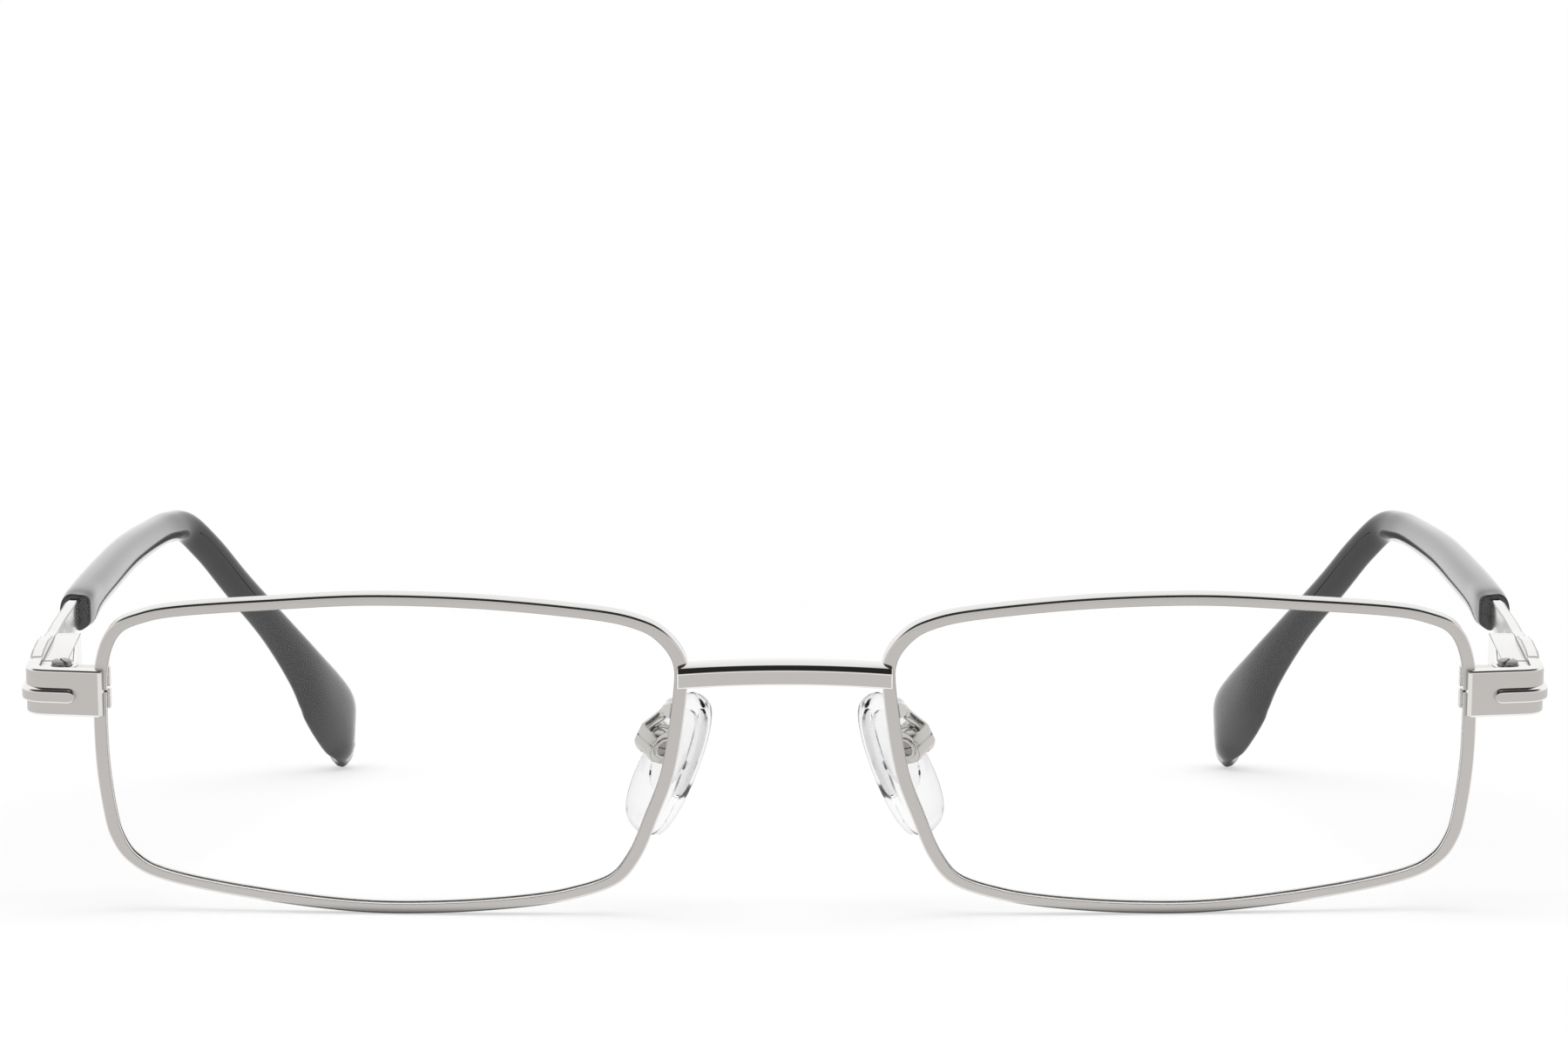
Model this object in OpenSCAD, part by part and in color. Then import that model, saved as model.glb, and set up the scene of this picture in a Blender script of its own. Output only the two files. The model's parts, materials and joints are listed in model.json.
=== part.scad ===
// Rectangular full-rim eyeglasses: metal front, sprung hinges and long plastic temple sleeves.
// They stand open on the rim bottoms and the temple tips. +X is the wearer's left, +Y runs back
// along the temples and +Z is up. The origin is below the middle of the whole object, on the floor.
// "Front frame": the same axes leaned back level with the rims, with its zero below the bridge.
// "Temple frame": +Y along the temple, +X outward, with its zero on the hinge axis.

/* [Lenses] */
// Width of one lens, from its nasal to its temporal edge
eye_w = 52.8; // [48:0.2:56]
// Height of one lens
eye_h = 28.6; // [26:0.2:32]
// Distance between the two lenses at the nose
bridge_gap = 19; // [17:0.2:22]
// Radius of the sphere that lenses and rims follow
base_r = 125; // [100:5:200]
// How far each lens's centre of curvature lies towards the nose
wrap_shift = 10; // [4:0.2:14]

/* [Rims] */
// Width of the rim's face at the sides
rim_w = 1.25; // [1.15:0.05:1.6]
// Share of that width that the top and the bottom of the rim have
rim_rail_share = 0.8; // [0.7:0.05:1]
// Depth of the rim from front to back
rim_depth = 1.8; // [1.6:0.1:2.4]
// Depth of the groove that holds the lens
groove_depth = 0.45; // [0.3:0.05:0.6]
// Wall of the rim in front of the groove and behind it
groove_lip = 0.4; // [0.3:0.05:0.5]
// Gap between a lens and its groove
lens_play = 0.05; // [0.03:0.01:0.08]
// Saw cut through the rim between the closing blocks
split_gap = 0.3; // [0.2:0.05:0.5]

/* [Bridge] */
// Height of the bridge bar
bridge_h = 1.85; // [1.4:0.05:2.4]
// Thickness of the bridge bar from front to back
bridge_t = 1.8; // [1.4:0.1:2.2]
// Height of the bridge ends above the middle of the lenses
bridge_z = 7.2; // [5:0.1:9]
// Rise of the middle of the bridge above its ends
bridge_rise = 0.6; // [0:0.1:2]
// Bow of the bridge towards the front
bridge_bow = 0.9; // [0.4:0.1:2]
// Overlap of the bridge ends on the rims
bridge_lap = 0.45; // [0.2:0.05:0.8]
// How far the bridge ends stand in front of the rims
bridge_proud = 0.55; // [0.3:0.05:0.9]

/* [End pieces] */
// Height of the end pieces
end_h = 4.1; // [3.6:0.1:5]
// Thickness of the end piece plate
end_t = 1.2; // [1:0.05:1.5]
// Height of the end pieces above the middle of the lenses
end_z = 4.9; // [3:0.1:8]
// Overlap of the end piece on the rim
end_lap = 1.2; // [0.8:0.1:1.4]
// How far the end piece stands in front of the rim
end_proud = 0.6; // [0.3:0.05:0.9]
// Centre line radius of the end piece's corner
corner_r = 1.5; // [1.2:0.1:2]
// Height of the raised rib on the end piece and temple head
rib_h = 1.4; // [1:0.1:2]
// How far the rib stands out
rib_proud = 0.4; // [0.2:0.05:0.6]

/* [Hinges] */
// Distance of the hinge axis outward from the rim
hinge_out = 3.2; // [3.1:0.1:4.5]
// Distance of the hinge axis behind the rim's front face
hinge_back = 2.8; // [2.6:0.1:4]
// Distance from the hinge axis to the outer face of the temple head
head_out = 3.2; // [3:0.1:3.8]
// Outward splay of the temples
splay = 3; // [0:0.5:5]
// Radius of the hinge screw
hinge_screw_r = 0.6; // [0.5:0.05:0.7]
// Radius of the rounded hinge ears
ear_r = 1.5; // [1.4:0.05:1.6]
// Height of the hinge over both ears
ears_h = 3.5; // [3.2:0.1:3.8]
// Height of the tongue between the ears
tongue_h = 1.3; // [1:0.1:1.5]
// Running gap on every side of the tongue and its pin hole
hinge_play = 0.05; // [0.03:0.01:0.08]
// Travel of the spring inside each temple
spring_travel = 1.2; // [0.6:0.1:1.5]
// Turns of the hinge spring
spring_turns = 9; // [6:1:10]
// Radius of the spring wire
spring_wire_r = 0.12; // [0.1:0.01:0.13]

/* [Temples] */
// Distance from the hinge axis back to the temple tip
temple_reach = 117.3; // [105:0.5:130]
// Drop of the temple tip below the hinge
tip_drop = 39.1; // [35:0.1:43]
// How far the temple tip lies inside the temple head
tip_inset = 21.6; // [12:0.2:24]
// Height of the metal temple head
head_h = 4.6; // [4.2:0.1:5.4]
// Height of the metal temple bar
bar_h = 2.8; // [2.2:0.1:3.2]
// Thickness of the metal temple plate
bar_t = 1.2; // [1:0.05:1.5]
// Thickness of the plastic sleeve
sleeve_t = 4; // [3.6:0.1:4.6]
// Broadest height of the plastic sleeve, near its tip
sleeve_h = 9.2; // [8:0.1:11]

/* [Nose pads] */
// Length of a nose pad
pad_len = 13.5; // [11:0.5:15]
// Width of a nose pad
pad_w = 7.2; // [6:0.2:8]
// Thickness of a nose pad
pad_t = 2.5; // [2:0.1:3]
// Tilt of the pads outward at the bottom, seen from the front
pad_frontal = 25; // [15:1:30]
// Tilt of the pads outward at the back, seen from above
pad_splay = 35; // [25:1:40]
// Radius of the pad arm wire
pad_wire_r = 0.5; // [0.4:0.05:0.6]
// Radius of the pad screw
pad_screw_r = 0.4; // [0.35:0.05:0.5]

/* [Hidden] */

$fn = 48;
ball_facets = 240;
// Overrun of every cut beyond the solid that it cuts
over = 1;

// Rim outline, from the top middle clockwise as seen from the front of the wearer's left eye:
// shares of half the rim's width and half its height, with the temple on the positive side
rim_shares = [
    [0.059, 0.997], [0.423, 0.946], [0.698, 0.889], [0.831, 0.833], [0.927, 0.746], [0.979, 0.585],
    [0.998, 0.339], [0.997, -0.093], [0.977, -0.432], [0.952, -0.612], [0.896, -0.754],
    [0.783, -0.853], [0.51, -0.932], [0.128, -0.995], [-0.16, -0.992], [-0.435, -0.955],
    [-0.607, -0.906], [-0.757, -0.814], [-0.835, -0.653], [-0.893, -0.408], [-0.955, -0.089],
    [-0.995, 0.378], [-0.993, 0.589], [-0.934, 0.75], [-0.844, 0.848], [-0.68, 0.917],
    [-0.32, 0.984],
];
rim_steps = 3;
rim_land = rim_w - groove_depth;
rim_half_w = eye_w / 2 + rim_land;
rim_half_h = eye_h / 2 + rim_rail_share * rim_land;
eye_x = (bridge_gap + eye_w) / 2;
eye_z = rim_half_h;
form_x = eye_x - wrap_shift;
rim_back_r = base_r - rim_depth;
// Depth of the room in the front frame that the rims' prisms fill
front_room = base_r / 8;

// Where the rim's front face lies behind the front frame's zero, at a place on the face
function face_y(x, z) = base_r - sqrt(base_r * base_r - pow(x - form_x, 2) - pow(z - eye_z, 2));
function back_y(x, z) = base_r
    - sqrt(rim_back_r * rim_back_r - pow(x - form_x, 2) - pow(z - eye_z, 2));

hinge_z = eye_z + end_z;
rim_out_x = eye_x + rim_half_w;
hinge_x = rim_out_x + hinge_out;
hinge_y = face_y(rim_out_x, hinge_z) + hinge_back;
head_in = head_out - bar_t;

// The end piece: from the rim outward, round its corner and back to the temple head
end_in_x = rim_out_x - end_lap;
end_in_y = face_y(end_in_x, hinge_z) - end_proud + end_t / 2;
end_slope = 8;
stop_gap = 0.12;
leg_end = ear_r + 0.4 * ear_r;
leg_mid = head_out - end_t / 2;
leg_x0 = hinge_x + leg_mid * cos(splay);
leg_y0 = hinge_y - leg_mid * sin(splay);
// The corner is where the front leg's line meets the side leg's line
corner_x = (leg_x0 + (end_in_y - end_in_x * tan(end_slope) - leg_y0) * tan(splay))
    / (1 - tan(end_slope) * tan(splay));
corner_y = end_in_y + (corner_x - end_in_x) * tan(end_slope);
end_start = [end_in_x, end_in_y, hinge_z];
end_corner = [corner_x, corner_y, hinge_z];
end_finish = [leg_x0 + leg_end * sin(splay), leg_y0 + leg_end * cos(splay), hinge_z];
rib_start_share = 0.36;
rib_nose_shares = [[0, 0.3], [0.12, 0.66], [0.3, 0.9], [0.5, 1]];
rib_tail_shares = [[0, 1], [0.9, 1], [0.94, 0.9], [0.98, 0.66], [1, 0.3]];
plate_nose_shares = [[0, 0.45, 0.95], [0.45, 1, 1]];
plate_section_shares = [[-1, -1], [0.4, -1], [1, -0.84], [1, 0.84], [0.4, 1], [-1, 1]];
rib_section_shares = [[0, -1], [0.85, -1], [1, -0.6], [1, 0.6], [0.85, 1], [0, 1]];

// Closing blocks behind the end piece, split by the saw cut
block_out = hinge_out - ear_r - 0.15 * ear_r;
block_in = 0.2 * rim_w;
block_h = 0.93 * end_h;
block_back = 0.15 * rim_depth;
closing_r = 0.4;
closing_play = 0.04;
closing_head_r = 0.7;
closing_head_h = 0.5;
closing_out = closing_head_r + closing_play;
closing_back = 2.2 * closing_r;

// Hinge screw head, sunk in the upper ear
hinge_head_r = 0.95;
hinge_head_h = 0.5;
slot_w = 0.22;
slot_depth = 0.2;
gap_h = tongue_h + 2 * hinge_play;

// The sliding shaft and the housing that runs on it, along the temple
housing_t = 2.3;
housing_in = head_in - housing_t;
shaft_x = (housing_in + head_in) / 2;
shaft_r = 0.35;
guide_r = 0.75;
guide_play = 0.05;
housing_h = 3.2;
housing_start = 2.3;
collar_start = 3.6;
collar_end = 4.6;
collar_play = 0.07;
// The spring is long enough for its travel, with a share of air between its turns
spring_len = spring_travel + 4.4 * spring_turns * spring_wire_r;
nut_start = collar_end + spring_len + 2 * guide_play;
nut_len = 0.75;
nut_r = 0.7;
shaft_end = nut_start + nut_len;
chamber_end = shaft_end + 0.6 * nut_len;
housing_flat_end = chamber_end + 1.75 * guide_r;
housing_end = housing_flat_end + 2.1 * housing_h;
spring_r = guide_r - spring_wire_r - guide_play;

// Temple route: shares of the tip's inset, reach and drop, then of the sleeve's thickness and
// height. The first point is where the metal core leaves the bar, the second is the sleeve's mouth.
route_shares = [
    [0.008, 0.240, 0.010, 0.78, 0.40], [0.014, 0.267, 0.015, 0.79, 0.41],
    [0.022, 0.300, 0.020, 0.89, 0.47], [0.047, 0.413, 0.036, 0.90, 0.47],
    [0.089, 0.562, 0.061, 0.86, 0.45], [0.152, 0.692, 0.093, 0.80, 0.41],
    [0.203, 0.754, 0.110, 0.81, 0.40], [0.266, 0.791, 0.135, 0.83, 0.39],
    [0.376, 0.814, 0.218, 0.86, 0.39], [0.508, 0.839, 0.340, 0.88, 0.40],
    [0.680, 0.876, 0.496, 0.90, 0.45], [0.819, 0.910, 0.642, 0.92, 0.62],
    [0.912, 0.941, 0.768, 0.92, 0.90], [0.990, 0.974, 0.878, 0.84, 0.97],
    [1.000, 0.992, 0.955, 0.62, 0.75], [1.000, 1.000, 1.000, 0.30, 0.40],
];
route_steps = 3;
core_steps = 2;
core_points = 11;
core_t = 0.8;
core_h = 2.0;
// Section of the sleeve: shares of half its thickness and half its height, keeled along the bottom
sleeve_section_shares = [
    [0.0, -1.0], [0.42, -0.84], [0.78, -0.56], [0.97, -0.22], [1.0, 0.14], [0.90, 0.54],
    [0.66, 0.84], [0.28, 0.98], [-0.28, 0.98], [-0.66, 0.84], [-0.90, 0.54], [-1.0, 0.14],
    [-0.97, -0.22], [-0.78, -0.56], [-0.42, -0.84],
];
core_section_shares = [[-1, -1], [1, -1], [1, 1], [-1, 1]];
// Side view of the metal temple: shares of the mouth's distance, then of half the head's height
head_top_shares = [
    [0, 0.9], [0.07, 1.0], [0.2, 1.02], [0.28, 0.92], [0.40, 0.66], [0.52, 0.56],
];
head_bottom_shares = [
    [0.56, -0.66], [0.44, -0.70], [0.30, -0.84], [0.2, -0.96], [0.07, -0.96], [0, -0.9],
];
bar_end = route_shares[0][1] * temple_reach;
bar_end_x = leg_mid - route_shares[0][0] * tip_inset;
bar_end_z = -route_shares[0][2] * tip_drop;
head_start = leg_end + stop_gap;
head_rib_end = 9.6;

// Nose pad box and what it carries, measured from the middle of the box
box_in = 2.95;
box_back = 4.3;
box_drop = 0.05;
box_x = eye_x - rim_half_w + box_in + 0.15 * rim_w;
box_y = back_y(box_x, eye_z) + box_back;
box_z = eye_z - box_drop;
box_t = 2.4;
box_w = 2.9;
box_h = 3.1;
box_slot = 1.1;
box_floor = 0.4;
pad_play = 0.05;
pad_head_r = 0.7;
pad_head_h = 0.35;
boss_w = box_slot - 2 * pad_play;
boss_r = box_t / 2 - box_floor - pad_play;
stem_h = 2.2;
pad_stem = 1.3;
plate_x = -box_t / 2 - pad_stem;
insert_t = 0.5;
insert_share = 0.6;
pad_drop = 0.5;
// How blunt the pad's ends are, how wide they are and how much it narrows upward
pad_blunt_share = 0.3;
pad_end_share = 0.12;
pad_taper_share = 0.16;
pad_rows = 12;
pad_sides = 16;
// Where the pad arm leaves the rim, and the bends of its wire on the way to the box
arm_root_x = eye_x - 0.963 * rim_half_w + 0.5 * rim_w;
arm_root_z = eye_z + 3.9;
arm_bow = 3.6;
arm_shares = [[0, 0, 0], [0, 0.4, -0.07], [0.2, 0.81, 0.15], [0.6, 1, 0.4]];

// Ends of the bridge, and its section with a broad bevel along the upper front edge
bridge_half = bridge_gap / 2 - rim_land + bridge_lap;
bridge_end_y = face_y(bridge_half, eye_z + bridge_z) - bridge_proud;
bridge_top = bridge_z + bridge_rise + bridge_h / 2;
bridge_section_shares = [
    [-0.7, -1], [0.8, -1], [0.94, -0.93], [1, -0.8], [1, 0.3], [0.86, 0.55], [0.52, 0.88],
    [0.3, 1], [-0.7, 1], [-1, 0.7], [-1, -0.7],
];

// How the open glasses stand on the rim bottoms and the temple tips, with the zero below their middle
rim_foot_y = face_y(eye_x, 0);
tip_foot_y = hinge_y + (temple_reach - sleeve_t / 2) * cos(splay);
tip_foot_z = hinge_z - tip_drop - 0.067 * sleeve_h;
lean = atan2(-tip_foot_z, tip_foot_y - rim_foot_y);
stance_z = -rim_foot_y * sin(lean);
stance_front = (bridge_end_y - bridge_bow) * cos(lean) - (eye_z + bridge_top) * sin(lean);
stance_rear = (hinge_y + temple_reach) * cos(lean) - (hinge_z - tip_drop) * sin(lean) + sleeve_h / 4;
stance_y = -(stance_front + stance_rear) / 2;

function unit(v) = v / norm(v);
// Point at share t between b and c on a smooth curve through a, b, c and d
function curve_point(a, b, c, d, t) =
    (2 * b + (c - a) * t + (2 * a - 5 * b + 4 * c - d) * t * t
    + (3 * b - a - 3 * c + d) * t * t * t) / 2;
function closed_curve(p, steps) = let (n = len(p))
    [for (i = [0:n - 1], k = [0:steps - 1])
        curve_point(p[(i + n - 1) % n], p[i], p[(i + 1) % n], p[(i + 2) % n], k / steps)];
function open_curve(p, steps) = let (n = len(p))
    [for (i = [0:n - 2], k = [0:steps - (i == n - 2 ? 0 : 1)])
        curve_point(i == 0 ? 2 * p[0] - p[1] : p[i - 1], p[i], p[i + 1],
            i == n - 2 ? 2 * p[n - 1] - p[n - 2] : p[i + 2], k / steps)];
// A clockwise outline moved outward, by d at its sides and by the rail's share of d at its top and
// bottom
function grown(p, d) = let (n = len(p))
    [for (i = [0:n - 1]) let (t = unit(p[(i + 1) % n] - p[(i + n - 1) % n]))
        p[i] + d * [-t[1], rim_rail_share * t[0]]];
// A corner rounded between the legs a-b and b-c, starting a run r before b
function rounded(a, b, c, r) = let (p = b + r * unit(a - b), q = b + r * unit(c - b))
    [for (k = [0:6]) let (t = k / 6) (1 - t) * (1 - t) * p + 2 * t * (1 - t) * b + t * t * q];
function point3(v) = [v[0], v[1], v[2]];

end_way = unit(end_corner - end_start);
end_bend = concat(rounded(end_start, end_corner, end_finish, corner_r), [end_finish]);
rim_outer = closed_curve([for (s = rim_shares) [eye_x + s[0] * rim_half_w, eye_z + s[1] * rim_half_h]],
    rim_steps);

// A leaning front frame, set on the floor over the origin
module stance() {
    translate([0, stance_y, stance_z]) rotate([lean, 0, 0]) children();
}

// The wearer's left side as drawn, or its mirror image for the right side
module side(left) {
    if (left) stance() children();
    else mirror([1, 0, 0]) stance() children();
}

// The temple frame: zero on the hinge axis, +Y along the temple
module at_hinge() {
    translate([hinge_x, hinge_y, hinge_z]) rotate([0, 0, -splay]) children();
}

// The pad frame: zero in the pad box, +Z along the pad, +X away from the nose
module at_pad() {
    translate([box_x, box_y, box_z]) rotate([0, -pad_frontal, 0]) rotate([0, 0, -pad_splay]) children();
}

// An outline drawn in X and Z, extruded along Y
module prism_y(points, y0, y1) {
    translate([0, y1, 0]) rotate([90, 0, 0]) linear_extrude(y1 - y0) polygon(points);
}

// A profile drawn in Y and Z, extruded along X
module prism_x(points, x0, x1) {
    translate([x0, 0, 0]) rotate([90, 0, 90]) linear_extrude(x1 - x0) polygon(points);
}

module rod_y(r, y0, y1) {
    translate([0, y0, 0]) rotate([-90, 0, 0]) cylinder(r = r, h = y1 - y0);
}

module ball(r) {
    translate([form_x, base_r, eye_z]) sphere(r = r, $fn = ball_facets);
}

// The part of a prism along Y that lies between two spheres about the lens's centre of curvature
module curved(outline, front_r, back_r) {
    intersection() {
        prism_y(outline, -over, front_room);
        difference() {
            ball(front_r);
            ball(back_r);
        }
    }
}

// Triangles that close a stack of rings, each of the same number of points
function skin(rings, sides) = concat(
    [for (j = [1:sides - 2]) [0, j, j + 1]],
    [for (i = [0:rings - 2], j = [0:sides - 1]) let (k = (j + 1) % sides)
        each [[i * sides + j, (i + 1) * sides + j, (i + 1) * sides + k],
            [i * sides + j, (i + 1) * sides + k, i * sides + k]]],
    [for (j = [1:sides - 2]) [0, j + 1, j] + (rings - 1) * sides * [1, 1, 1]]);

module skinned(rings) {
    polyhedron(points = [for (ring = rings, p = ring) p], faces = skin(len(rings), len(rings[0])),
        convexity = 10);
}

// A solid swept along a route. Each route point holds X, Y, Z, thickness and height, and the
// section is given in shares of half the thickness, level and outward, and half the height.
module swept(route, section) {
    n = len(route);
    rings = [for (i = [0:n - 1]) let (
            t = unit(point3(route[min(i + 1, n - 1)]) - point3(route[max(i - 1, 0)])),
            out = unit(cross(t, [0, 0, 1])),
            up = cross(out, t))
        [for (j = [len(section) - 1:-1:0])
            point3(route[i]) + out * section[j][0] * route[i][3] / 2
                + up * section[j][1] * route[i][4] / 2]];
    skinned(rings);
}

module rim() {
    color("silver") difference() {
        curved(rim_outer, base_r, rim_back_r);
        prism_y(grown(rim_outer, -rim_w), -2 * over, front_room + over);
        curved(grown(rim_outer, -rim_land), base_r - groove_lip, rim_back_r + groove_lip);
        translate([eye_x, -over, hinge_z - split_gap / 2]) cube([eye_w, front_room, split_gap]);
    }
}

module lens() {
    color([0.9, 0.95, 0.97, 0.3])
        curved(grown(rim_outer, -rim_land - lens_play), base_r - groove_lip - lens_play,
            rim_back_r + groove_lip + lens_play);
}

// The room that the rim fills, out to its outer edge and back to its rear face
module rim_room() {
    difference() {
        prism_y(rim_outer, -over, front_room);
        ball(rim_back_r);
    }
}

module bridge() {
    steps = 12;
    route = [for (i = [-steps:steps]) let (share = i / steps, arch = 1 - share * share)
        [share * bridge_half, bridge_end_y - bridge_bow * arch + bridge_t / 2,
            eye_z + bridge_z + bridge_rise * arch, bridge_t, bridge_h]];
    color("silver") stance() difference() {
        swept(route, bridge_section_shares);
        curved(rim_outer, base_r, rim_back_r);
        mirror([1, 0, 0]) curved(rim_outer, base_r, rim_back_r);
    }
}

// A plate soldered on the rim, bent round the corner, with its rib
module end_piece() {
    rib_start = end_start + rib_start_share * (end_corner - end_start);
    rib_t = end_t + 2 * rib_proud;
    color("silver") difference() {
        union() {
            end_plate();
            swept(concat(
                [for (s = rib_nose_shares) let (p = rib_start + s[0] * rib_h * end_way)
                    [p[0], p[1], p[2], rib_t, s[1] * rib_h]],
                [for (p = end_bend) [p[0], p[1], p[2], rib_t, rib_h]]), rib_section_shares);
        }
        curved(rim_outer, base_r, rim_back_r);
    }
}

// The end piece without its rib, with a bevelled inner end
module end_plate() {
    swept(concat(
        [for (s = plate_nose_shares) let (p = end_start + s[0] * end_t * end_way)
            [p[0], p[1], p[2], s[1] * end_t, s[2] * end_h]],
        [for (p = end_bend) [p[0], p[1], p[2], end_t, end_h]]), plate_section_shares);
}

// Everything in front of the end piece's rear face, beside the rim
module before_plate() {
    translate([end_in_x, end_in_y, hinge_z]) rotate([0, 0, end_slope])
        translate([-eye_w / 2, end_t / 2 - front_room, -end_h]) cube([eye_w, front_room, 2 * end_h]);
}

module block_stock(z0, z1) {
    y0 = face_y(end_in_x, hinge_z);
    y1 = back_y(rim_out_x, hinge_z) + block_back;
    x0 = rim_out_x - rim_w - block_in;
    difference() {
        translate([x0, y0, hinge_z + z0]) cube([rim_out_x + block_out - x0, y1 - y0, z1 - z0]);
        before_plate();
        rim_room();
    }
}

module at_closing() {
    y = back_y(rim_out_x, hinge_z) + block_back - closing_back;
    translate([rim_out_x + closing_out, y, hinge_z]) children();
}

module closing_block_upper() {
    color("silver") difference() {
        block_stock(split_gap / 2, block_h / 2);
        at_closing() cylinder(r = closing_r, h = block_h / 2 - split_gap);
    }
}

module closing_block_lower() {
    color("silver") difference() {
        block_stock(-block_h / 2, -split_gap / 2);
        at_closing() translate([0, 0, -block_h])
            cylinder(r = closing_r + closing_play, h = 2 * block_h);
    }
}

module closing_screw() {
    color("gray") at_closing() difference() {
        union() {
            translate([0, 0, -block_h / 2]) cylinder(r = closing_r, h = block_h - split_gap);
            translate([0, 0, -block_h / 2 - closing_head_h])
                cylinder(r = closing_head_r, h = closing_head_h);
        }
        translate([-closing_head_r - over, -slot_w / 2, -block_h / 2 - closing_head_h - over])
            cube([2 * closing_head_r + 2 * over, slot_w, over + slot_depth]);
    }
}

module hinge_ears() {
    color("silver") difference() {
        at_hinge() translate([0, 0, -ears_h / 2]) linear_extrude(ears_h) {
            circle(r = ear_r);
            translate([0, -ear_r]) square([head_in, 2 * ear_r]);
        }
        at_hinge() {
            translate([-2 * ear_r, -2 * ear_r, -gap_h / 2])
                cube([2 * ear_r + 2 * head_in, 4 * ear_r, gap_h]);
            translate([0, 0, -ears_h]) cylinder(r = hinge_screw_r, h = 2 * ears_h);
            translate([0, 0, ears_h / 2 - hinge_head_h])
                cylinder(r = hinge_head_r, h = hinge_head_h + over);
        }
        end_plate();
    }
}

module hinge_screw() {
    color("gray") at_hinge() difference() {
        union() {
            translate([0, 0, -ears_h / 2]) cylinder(r = hinge_screw_r, h = ears_h);
            translate([0, 0, ears_h / 2 - hinge_head_h]) cylinder(r = hinge_head_r, h = hinge_head_h);
        }
        translate([-hinge_head_r - over, -slot_w / 2, ears_h / 2 - slot_depth])
            cube([2 * hinge_head_r + 2 * over, slot_w, slot_depth + over]);
    }
}

// The hinge's moving tongue: its eye round the screw, its guide and the shaft through the spring
module hinge_tongue() {
    eye_r = ear_r - 2 * hinge_play;
    color("silver") at_hinge() difference() {
        union() {
            translate([0, 0, -tongue_h / 2]) cylinder(r = eye_r, h = tongue_h);
            translate([shaft_x - guide_r, 0, -tongue_h / 2])
                cube([2 * guide_r, housing_start, tongue_h]);
            translate([shaft_x, 0, 0]) {
                intersection() {
                    rod_y(guide_r, eye_r, collar_start - guide_play);
                    translate([-guide_r, 0, -tongue_h / 2]) cube([2 * guide_r, collar_start, tongue_h]);
                }
                rod_y(shaft_r, eye_r, shaft_end);
            }
        }
        translate([0, 0, -tongue_h]) cylinder(r = hinge_screw_r + hinge_play, h = 2 * tongue_h);
    }
}

module slide_nut() {
    color("gray") at_hinge() translate([shaft_x, 0, 0]) difference() {
        rod_y(nut_r, nut_start, nut_start + nut_len);
        rod_y(shaft_r, nut_start - over, nut_start + nut_len + over);
    }
}

// A coil along +Y between the housing's collar and the slide nut
module hinge_spring() {
    turn_steps = 10;
    sides = 5;
    count = spring_turns * turn_steps;
    run = spring_len - 2 * spring_wire_r;
    rings = [for (i = [0:count]) let (
            a = 360 * i / turn_steps,
            y = collar_end + guide_play + spring_wire_r + run * i / count)
        [for (k = [0:sides - 1]) let (b = 360 * k / sides, r = spring_r + spring_wire_r * cos(b))
            [shaft_x + r * cos(a), y + spring_wire_r * sin(b), r * sin(a)]]];
    color("gray") at_hinge() skinned(rings);
}

// The spring's housing on the inner face of the temple head, pointed at its rear end
module spring_housing() {
    half = housing_h / 2;
    color("silver") at_hinge() difference() {
        intersection() {
            prism_x([[housing_start, -half], [housing_flat_end, -half], [housing_end, 0],
                [housing_flat_end, half], [housing_start, half]], housing_in, head_in);
            translate([0, 0, -half]) linear_extrude(housing_h) polygon([
                [head_in, housing_start], [housing_in + guide_r, housing_start],
                [housing_in, housing_start + guide_r], [housing_in, housing_flat_end],
                [head_in, housing_end]]);
        }
        translate([shaft_x, 0, 0]) {
            rod_y(guide_r + guide_play, housing_start - over, collar_start);
            rod_y(shaft_r + collar_play, collar_start - over, chamber_end);
            rod_y(guide_r + guide_play, collar_end, chamber_end);
        }
    }
}

// The temple's route in the temple frame, from its first point to the one of that number
function temple_route(steps, first, last, t, h) = [for (q = open_curve(
    [for (i = [first:last]) let (s = route_shares[i])
        [leg_mid - s[0] * tip_inset, s[1] * temple_reach, -s[2] * tip_drop, s[3], s[4]]], steps))
    [q[0], q[1], q[2], t == 0 ? q[3] * sleeve_t : t, h == 0 ? q[4] * sleeve_h : h]];

// The metal core inside the sleeve
module core() {
    swept(temple_route(core_steps, 0, core_points, core_t, core_h), core_section_shares);
}

// Metal temple: a head that meets the end piece, a bar that narrows to the sleeve, and the core
module temple_arm() {
    half = head_h / 2;
    run = bar_end - head_start;
    color("silver") at_hinge() {
        intersection() {
            prism_x(concat(
                [for (s = head_top_shares) [head_start + s[0] * run, s[1] * half]],
                [[bar_end, bar_end_z + bar_h / 2], [bar_end, bar_end_z - bar_h / 2]],
                [for (s = head_bottom_shares) [head_start + s[0] * run, s[1] * half]]),
                0, 2 * head_out);
            translate([0, 0, -head_h]) linear_extrude(2 * head_h) polygon([
                [head_in, head_start], [head_out, head_start], [head_out, housing_end - over],
                [bar_end_x + bar_t / 2, bar_end], [bar_end_x - bar_t / 2, bar_end],
                [head_in, housing_end]]);
        }
        swept([for (s = rib_tail_shares)
            [leg_mid, head_start + s[0] * (head_rib_end - head_start), 0, end_t + 2 * rib_proud,
                s[1] * rib_h]], rib_section_shares);
        core();
    }
}

// Plastic sleeve over the metal core, from its open mouth to the rounded tip
module temple_sleeve() {
    color([0.07, 0.07, 0.08]) at_hinge() difference() {
        swept(temple_route(route_steps, 1, len(route_shares) - 1, 0, 0), sleeve_section_shares);
        core();
    }
}

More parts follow.
